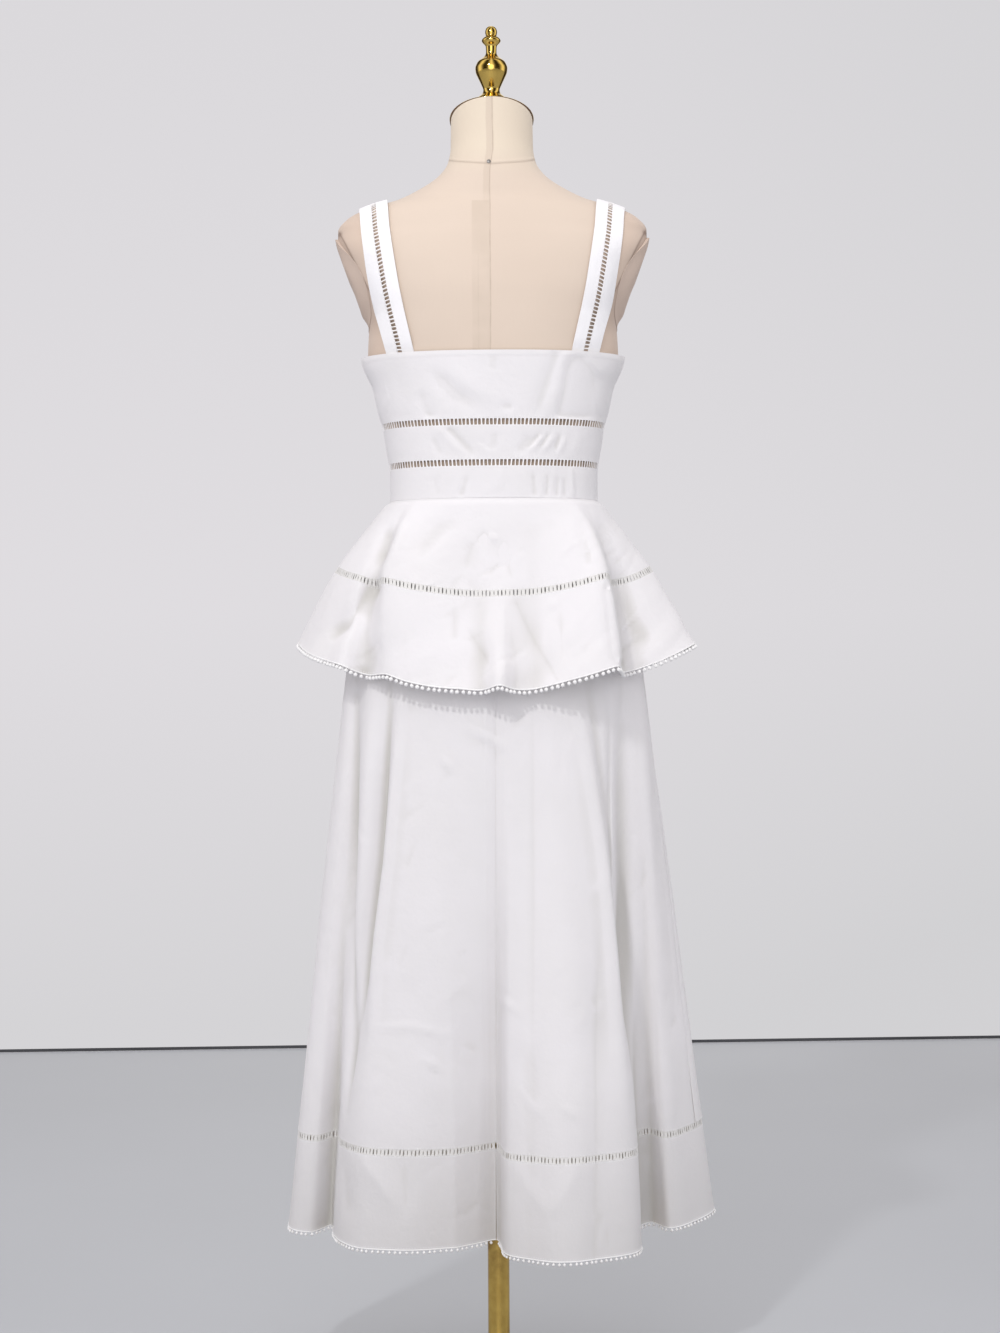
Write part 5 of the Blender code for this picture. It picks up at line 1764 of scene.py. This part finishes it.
class DRESS_OT_trim(bpy.types.Operator):
    """Bobble trim along the hems of the peplum and of the skirt"""

    bl_idname = "dress.trim"
    bl_label = "Bobble trim"

    def execute(self, context):
        sizes = context.scene.dress_sizes
        material = fluff_finish()
        for name, piece, bobble in (
            ("peplum_bobbles", "peplum_lower", sizes.bobble),
            ("hem_bobbles_left", "skirt_hem_band_left", sizes.hem_bobble),
            ("hem_bobbles_right", "skirt_hem_band_right", sizes.hem_bobble),
        ):
            pile = Pile()
            bobbles(pile, grid_of(piece), sizes, bobble)
            placed(pile.object(name, material), "cotton")
        return {"FINISHED"}


def grid_of(piece):
    """The outer side of a piece of cloth, by its name."""
    kind = piece.split("_")[0]
    makers = {"peplum": peplum_grid, "skirt": skirt_grid, "strap": strap_grid}
    return makers.get(kind, bodice_grid)(piece)


def stitch_rows():
    """The rows of stitches: the cloth, its edge and how far inside it they lie, in mm."""
    fitted = ("bodice_back", "bodice_front_left", "bodice_front_right", "midriff_band", "waist_band")
    panels = [f"skirt_{face}_{label}" for label in SIDES for face in ("back", "front")]
    bands = [f"skirt_hem_band_{label}" for label in SIDES]
    strips = [f"strap_{label}_{strip}" for label in SIDES for strip in ("inner", "outer")]
    return {
        "bodice_stitching": (
            [(piece, "top", TOP_ROW if piece.startswith("bodice") else SEAM_ROW) for piece in fitted]
            + [(piece, "bottom", SEAM_ROW) for piece in fitted]
        ),
        "peplum_stitching": [
            ("peplum_upper", "bottom", SEAM_ROW),
            ("peplum_lower", "top", SEAM_ROW),
            ("peplum_lower", "bottom", HEM_ROW),
        ],
        "skirt_stitching": (
            [(piece, "bottom", SEAM_ROW) for piece in panels]
            + [(piece, "top", SEAM_ROW) for piece in bands]
            + [(piece, "bottom", HEM_ROW) for piece in bands]
        ),
        "strap_stitching": [(piece, edge, STRAP_ROW) for piece in strips for edge in ("left", "right")],
    }


class DRESS_OT_stitching(bpy.types.Operator):
    """Rows of stitches beside the seams and along the edges"""

    bl_idname = "dress.stitching"
    bl_label = "Stitching"

    def execute(self, context):
        material = thread_finish()
        for name, rows in stitch_rows().items():
            pile = Pile()
            for piece, edge, inset in rows:
                line, normals = inset_line(grid_of(piece), inset, edge)
                stitches(pile, line, normals, context.scene.dress_sizes)
            placed(pile.object(name, material), "cotton")
        return {"FINISHED"}


class DRESS_OT_bodice(bpy.types.Operator):
    """The bodice's back, its two cupped fronts, its two bands and its button band"""

    bl_idname = "dress.bodice"
    bl_label = "Bodice"

    def execute(self, context):
        for name, flat in BODICE_CUTS.items():
            piece = cloth_piece(name, grid_of(name))
        z = placket_heights()[:, None]
        x = np.linspace(-PLACKET / 2, PLACKET / 2, 11)[None, :]
        piece = cloth_piece("bodice_placket", bodice_front_points(x, z), PLACKET_WALL)
        return {"FINISHED"}


def placket_heights():
    """Heights down the bodice's button band, from its top edge to the waist."""
    return np.linspace(EDGE_OF_FRONT(180.0)[0] - SEAM, WAIST + SEAM, 60)


class DRESS_OT_straps(bpy.types.Operator):
    """Two strips on each side of the straps' insertions, sewn inside the bodice's top edge"""

    bl_idname = "dress.straps"
    bl_label = "Straps"

    def execute(self, context):
        for label in SIDES:
            for strip in ("inner", "outer"):
                name = f"strap_{label}_{strip}"
                piece = cloth_piece(name, grid_of(name), STRAP_WALL)
                extras = [f"strap_{label}_ladder_openwork"] if strip == "inner" else []
                if name == "strap_left_inner":
                    extras.append("strap_stitching")
        return {"FINISHED"}


def hung_piece(name):
    """A flared piece of cloth, made from the grid of its name."""
    grid = grid_of(name)
    piece = cloth_piece(name, grid)


class DRESS_OT_skirt(bpy.types.Operator):
    """The skirt's four panels and the two halves of its bottom band"""

    bl_idname = "dress.skirt"
    bl_label = "Skirt"

    def execute(self, context):
        for label in SIDES:
            hung_piece(f"skirt_back_{label}")
            hung_piece(f"skirt_front_{label}")
            hung_piece(f"skirt_hem_band_{label}")
        return {"FINISHED"}


class DRESS_OT_peplum(bpy.types.Operator):
    """The two flared tiers over the hips"""

    bl_idname = "dress.peplum"
    bl_label = "Peplum"

    def execute(self, context):
        hung_piece("peplum_upper")
        hung_piece("peplum_lower")
        return {"FINISHED"}


def button_solid(radius):
    """Points and faces of a button with its face up, and how deep in a hole each point lies, for the painted
    shade in its holes.
    """
    rings = np.linspace(0.02, 1.0, 22)
    turn = full_turn(BUTTON_AROUND)
    face_x, face_y = radius * rings[:, None] * np.cos(turn), radius * rings[:, None] * np.sin(turn)
    pits = np.zeros_like(face_x)
    for sx, sy in ((1, 1), (1, -1), (-1, 1), (-1, -1)):
        away = (face_x - sx * HOLE_PLACE) ** 2 + (face_y - sy * HOLE_PLACE) ** 2
        pits = np.maximum(pits, np.exp(-((away / HOLE_RADIUS**2) ** 2)))
    rim = BUTTON_RIM * ease(rings, 0.62, 0.82) - BUTTON_BEVEL * ease(rings, 0.86, 1.0) ** 2
    face_z = (BUTTON_FACE + rim)[:, None] - HOLE_DEPTH * pits
    layers = [np.stack([face_x, face_y, face_z], axis=-1)]
    for share, height in BUTTON_BACK:
        ring = (radius * share * np.cos(turn), radius * share * np.sin(turn), height + 0 * turn)
        layers.append(np.stack(ring, axis=-1)[None])
    solid = np.concatenate(layers)
    dark = np.zeros(solid.shape[:2])
    dark[: len(rings)] = pits
    return solid.reshape(-1, 3), ring_faces(*solid.shape[:2]), dark


def button_axes(node):
    """The middle of a button's solid, and its directions to the right, up and out."""
    corners = np.array([v.co[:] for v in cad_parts[node].data.vertices])
    middle = (corners.min(axis=0) + corners.max(axis=0)) / 2
    _, _, axes = np.linalg.svd(corners - corners.mean(axis=0), full_matrices=False)
    out = axes[2] if axes[2][1] > 0 else -axes[2]
    right = unit(np.cross(np.array((0.0, 0.0, 1.0)), out))
    return middle, np.stack([right, np.cross(out, right), out])


def sew_button(rows, middle, axes):
    """Two crossed threads through a button's four holes, and the sewn edge of its buttonhole."""
    right, up, out = axes
    for lean in (1, -1):
        start = np.array((-HOLE_PLACE, -HOLE_PLACE * lean))
        path = np.array([
            (*start, THREAD_LOW),
            (*start * 0.5, THREAD_HIGH),
            (*-start * 0.5, THREAD_HIGH),
            (*-start, THREAD_LOW),
        ])
        path = middle + path @ axes
        side = unit(np.cross(path[-1] - path[0], out)) * BUTTON_THREAD
        rows.tubes(path[None], repeated(side[None], 4), repeated((out * BUTTON_THREAD)[None], 4))
    spin = np.linspace(0, 2 * math.pi, 40)[:, None]
    behind = middle - out * PLACKET_WALL
    hole = behind + np.cos(spin) * right * HOLE_SLIT[0] + np.sin(spin) * up * HOLE_SLIT[1]
    outward = np.cos(spin) * right + np.sin(spin) * up
    rows.tubes(hole[None], (outward * 0.45 * MM)[None], repeated((out * 0.4 * MM)[None], 40))


class DRESS_OT_fastening(bpy.types.Operator):
    """The skirt's button band, the buttons with their thread, and the buttonholes"""

    bl_idname = "dress.fastening"
    bl_label = "Button band and buttons"

    def execute(self, context):
        sizes = context.scene.dress_sizes
        lines = np.stack([
            np.stack([front_line(x, share) for share in np.linspace(0.002, 0.9995, 110)])
            for x in np.linspace(PLACKET / 2, -PLACKET / 2, 9)
        ], axis=1)
        grid = lines + grid_normals(lines) * (LAY + PLACKET_WALL)
        band = cloth_piece("skirt_placket", grid, PLACKET_WALL)
        rows = Pile()
        for edge in ("left", "right"):
            line, normals = inset_line(grid, HEM_ROW, edge)
            stitches(rows, line, normals, sizes)
        for x in (-PLACKET / 2 + HEM_ROW, PLACKET / 2 - HEM_ROW):
            line = bodice_front_points(x, placket_heights())
            stitches(rows, line, np.repeat([[0.0, 1.0, 0.0]], len(line), axis=0), sizes)
        shell = shell_finish()
        points, faces, dark = button_solid(sizes.button_radius)
        for number in range(1, BUTTONS + 1):
            node = f"button_{number:02d}"
            middle, axes = button_axes(node)
            button = Pile()
            # the mark along carries the holes' depth, for their painted shade
            button.add(middle + points @ axes, faces, along=dark)
            placed(button.object(f"{node}_shell", shell), "button_shell", node)
            sew_button(rows, middle, axes)
        placed(rows.object("fastening_thread", finish_of("sewing_thread", thread_finish)), "cotton")
        return {"FINISHED"}


class DRESS_PT_panel(bpy.types.Panel):
    """Sizes, colours and pieces of the dress"""

    bl_idname = "DRESS_PT_panel"
    bl_label = "Button-down midi dress"
    bl_space_type = "VIEW_3D"
    bl_region_type = "UI"
    bl_category = "Dress"

    def draw(self, context):
        for label in GROUPS:
            group = getattr(context.scene, label)
            box = self.layout.box()
            for name in group.__annotations__:
                box.prop(group, name)
        for operator in OPERATORS:
            self.layout.operator(operator.bl_idname)


OPERATORS = (
    DRESS_OT_stage,
    DRESS_OT_form,
    DRESS_OT_stand,
    DRESS_OT_openwork,
    DRESS_OT_trim,
    DRESS_OT_stitching,
    DRESS_OT_bodice,
    DRESS_OT_straps,
    DRESS_OT_skirt,
    DRESS_OT_peplum,
    DRESS_OT_fastening,
)
GROUPS = {
    "dress_sizes": DressSizes,
    "dress_colours": DressColours,
    "dress_folds": DressFolds,
    "dress_stage": DressStage,
}
KINDS = (*GROUPS.values(), *OPERATORS, DRESS_PT_panel)


def register():
    for kind in KINDS:
        bpy.utils.register_class(kind)
    for name, kind in GROUPS.items():
        setattr(bpy.types.Scene, name, bpy.props.PointerProperty(type=kind))


def unregister():
    for name in GROUPS:
        delattr(bpy.types.Scene, name)
    for kind in reversed(KINDS):
        bpy.utils.unregister_class(kind)


def main():
    register()
    bpy.ops.dress.stage()
    bpy.ops.dress.form()
    bpy.ops.dress.stand()
    bpy.ops.dress.openwork()
    bpy.ops.dress.trim()
    bpy.ops.dress.stitching()
    bpy.ops.dress.bodice()
    bpy.ops.dress.straps()
    bpy.ops.dress.skirt()
    bpy.ops.dress.peplum()
    bpy.ops.dress.fastening()


if __name__ == "__main__":
    main()
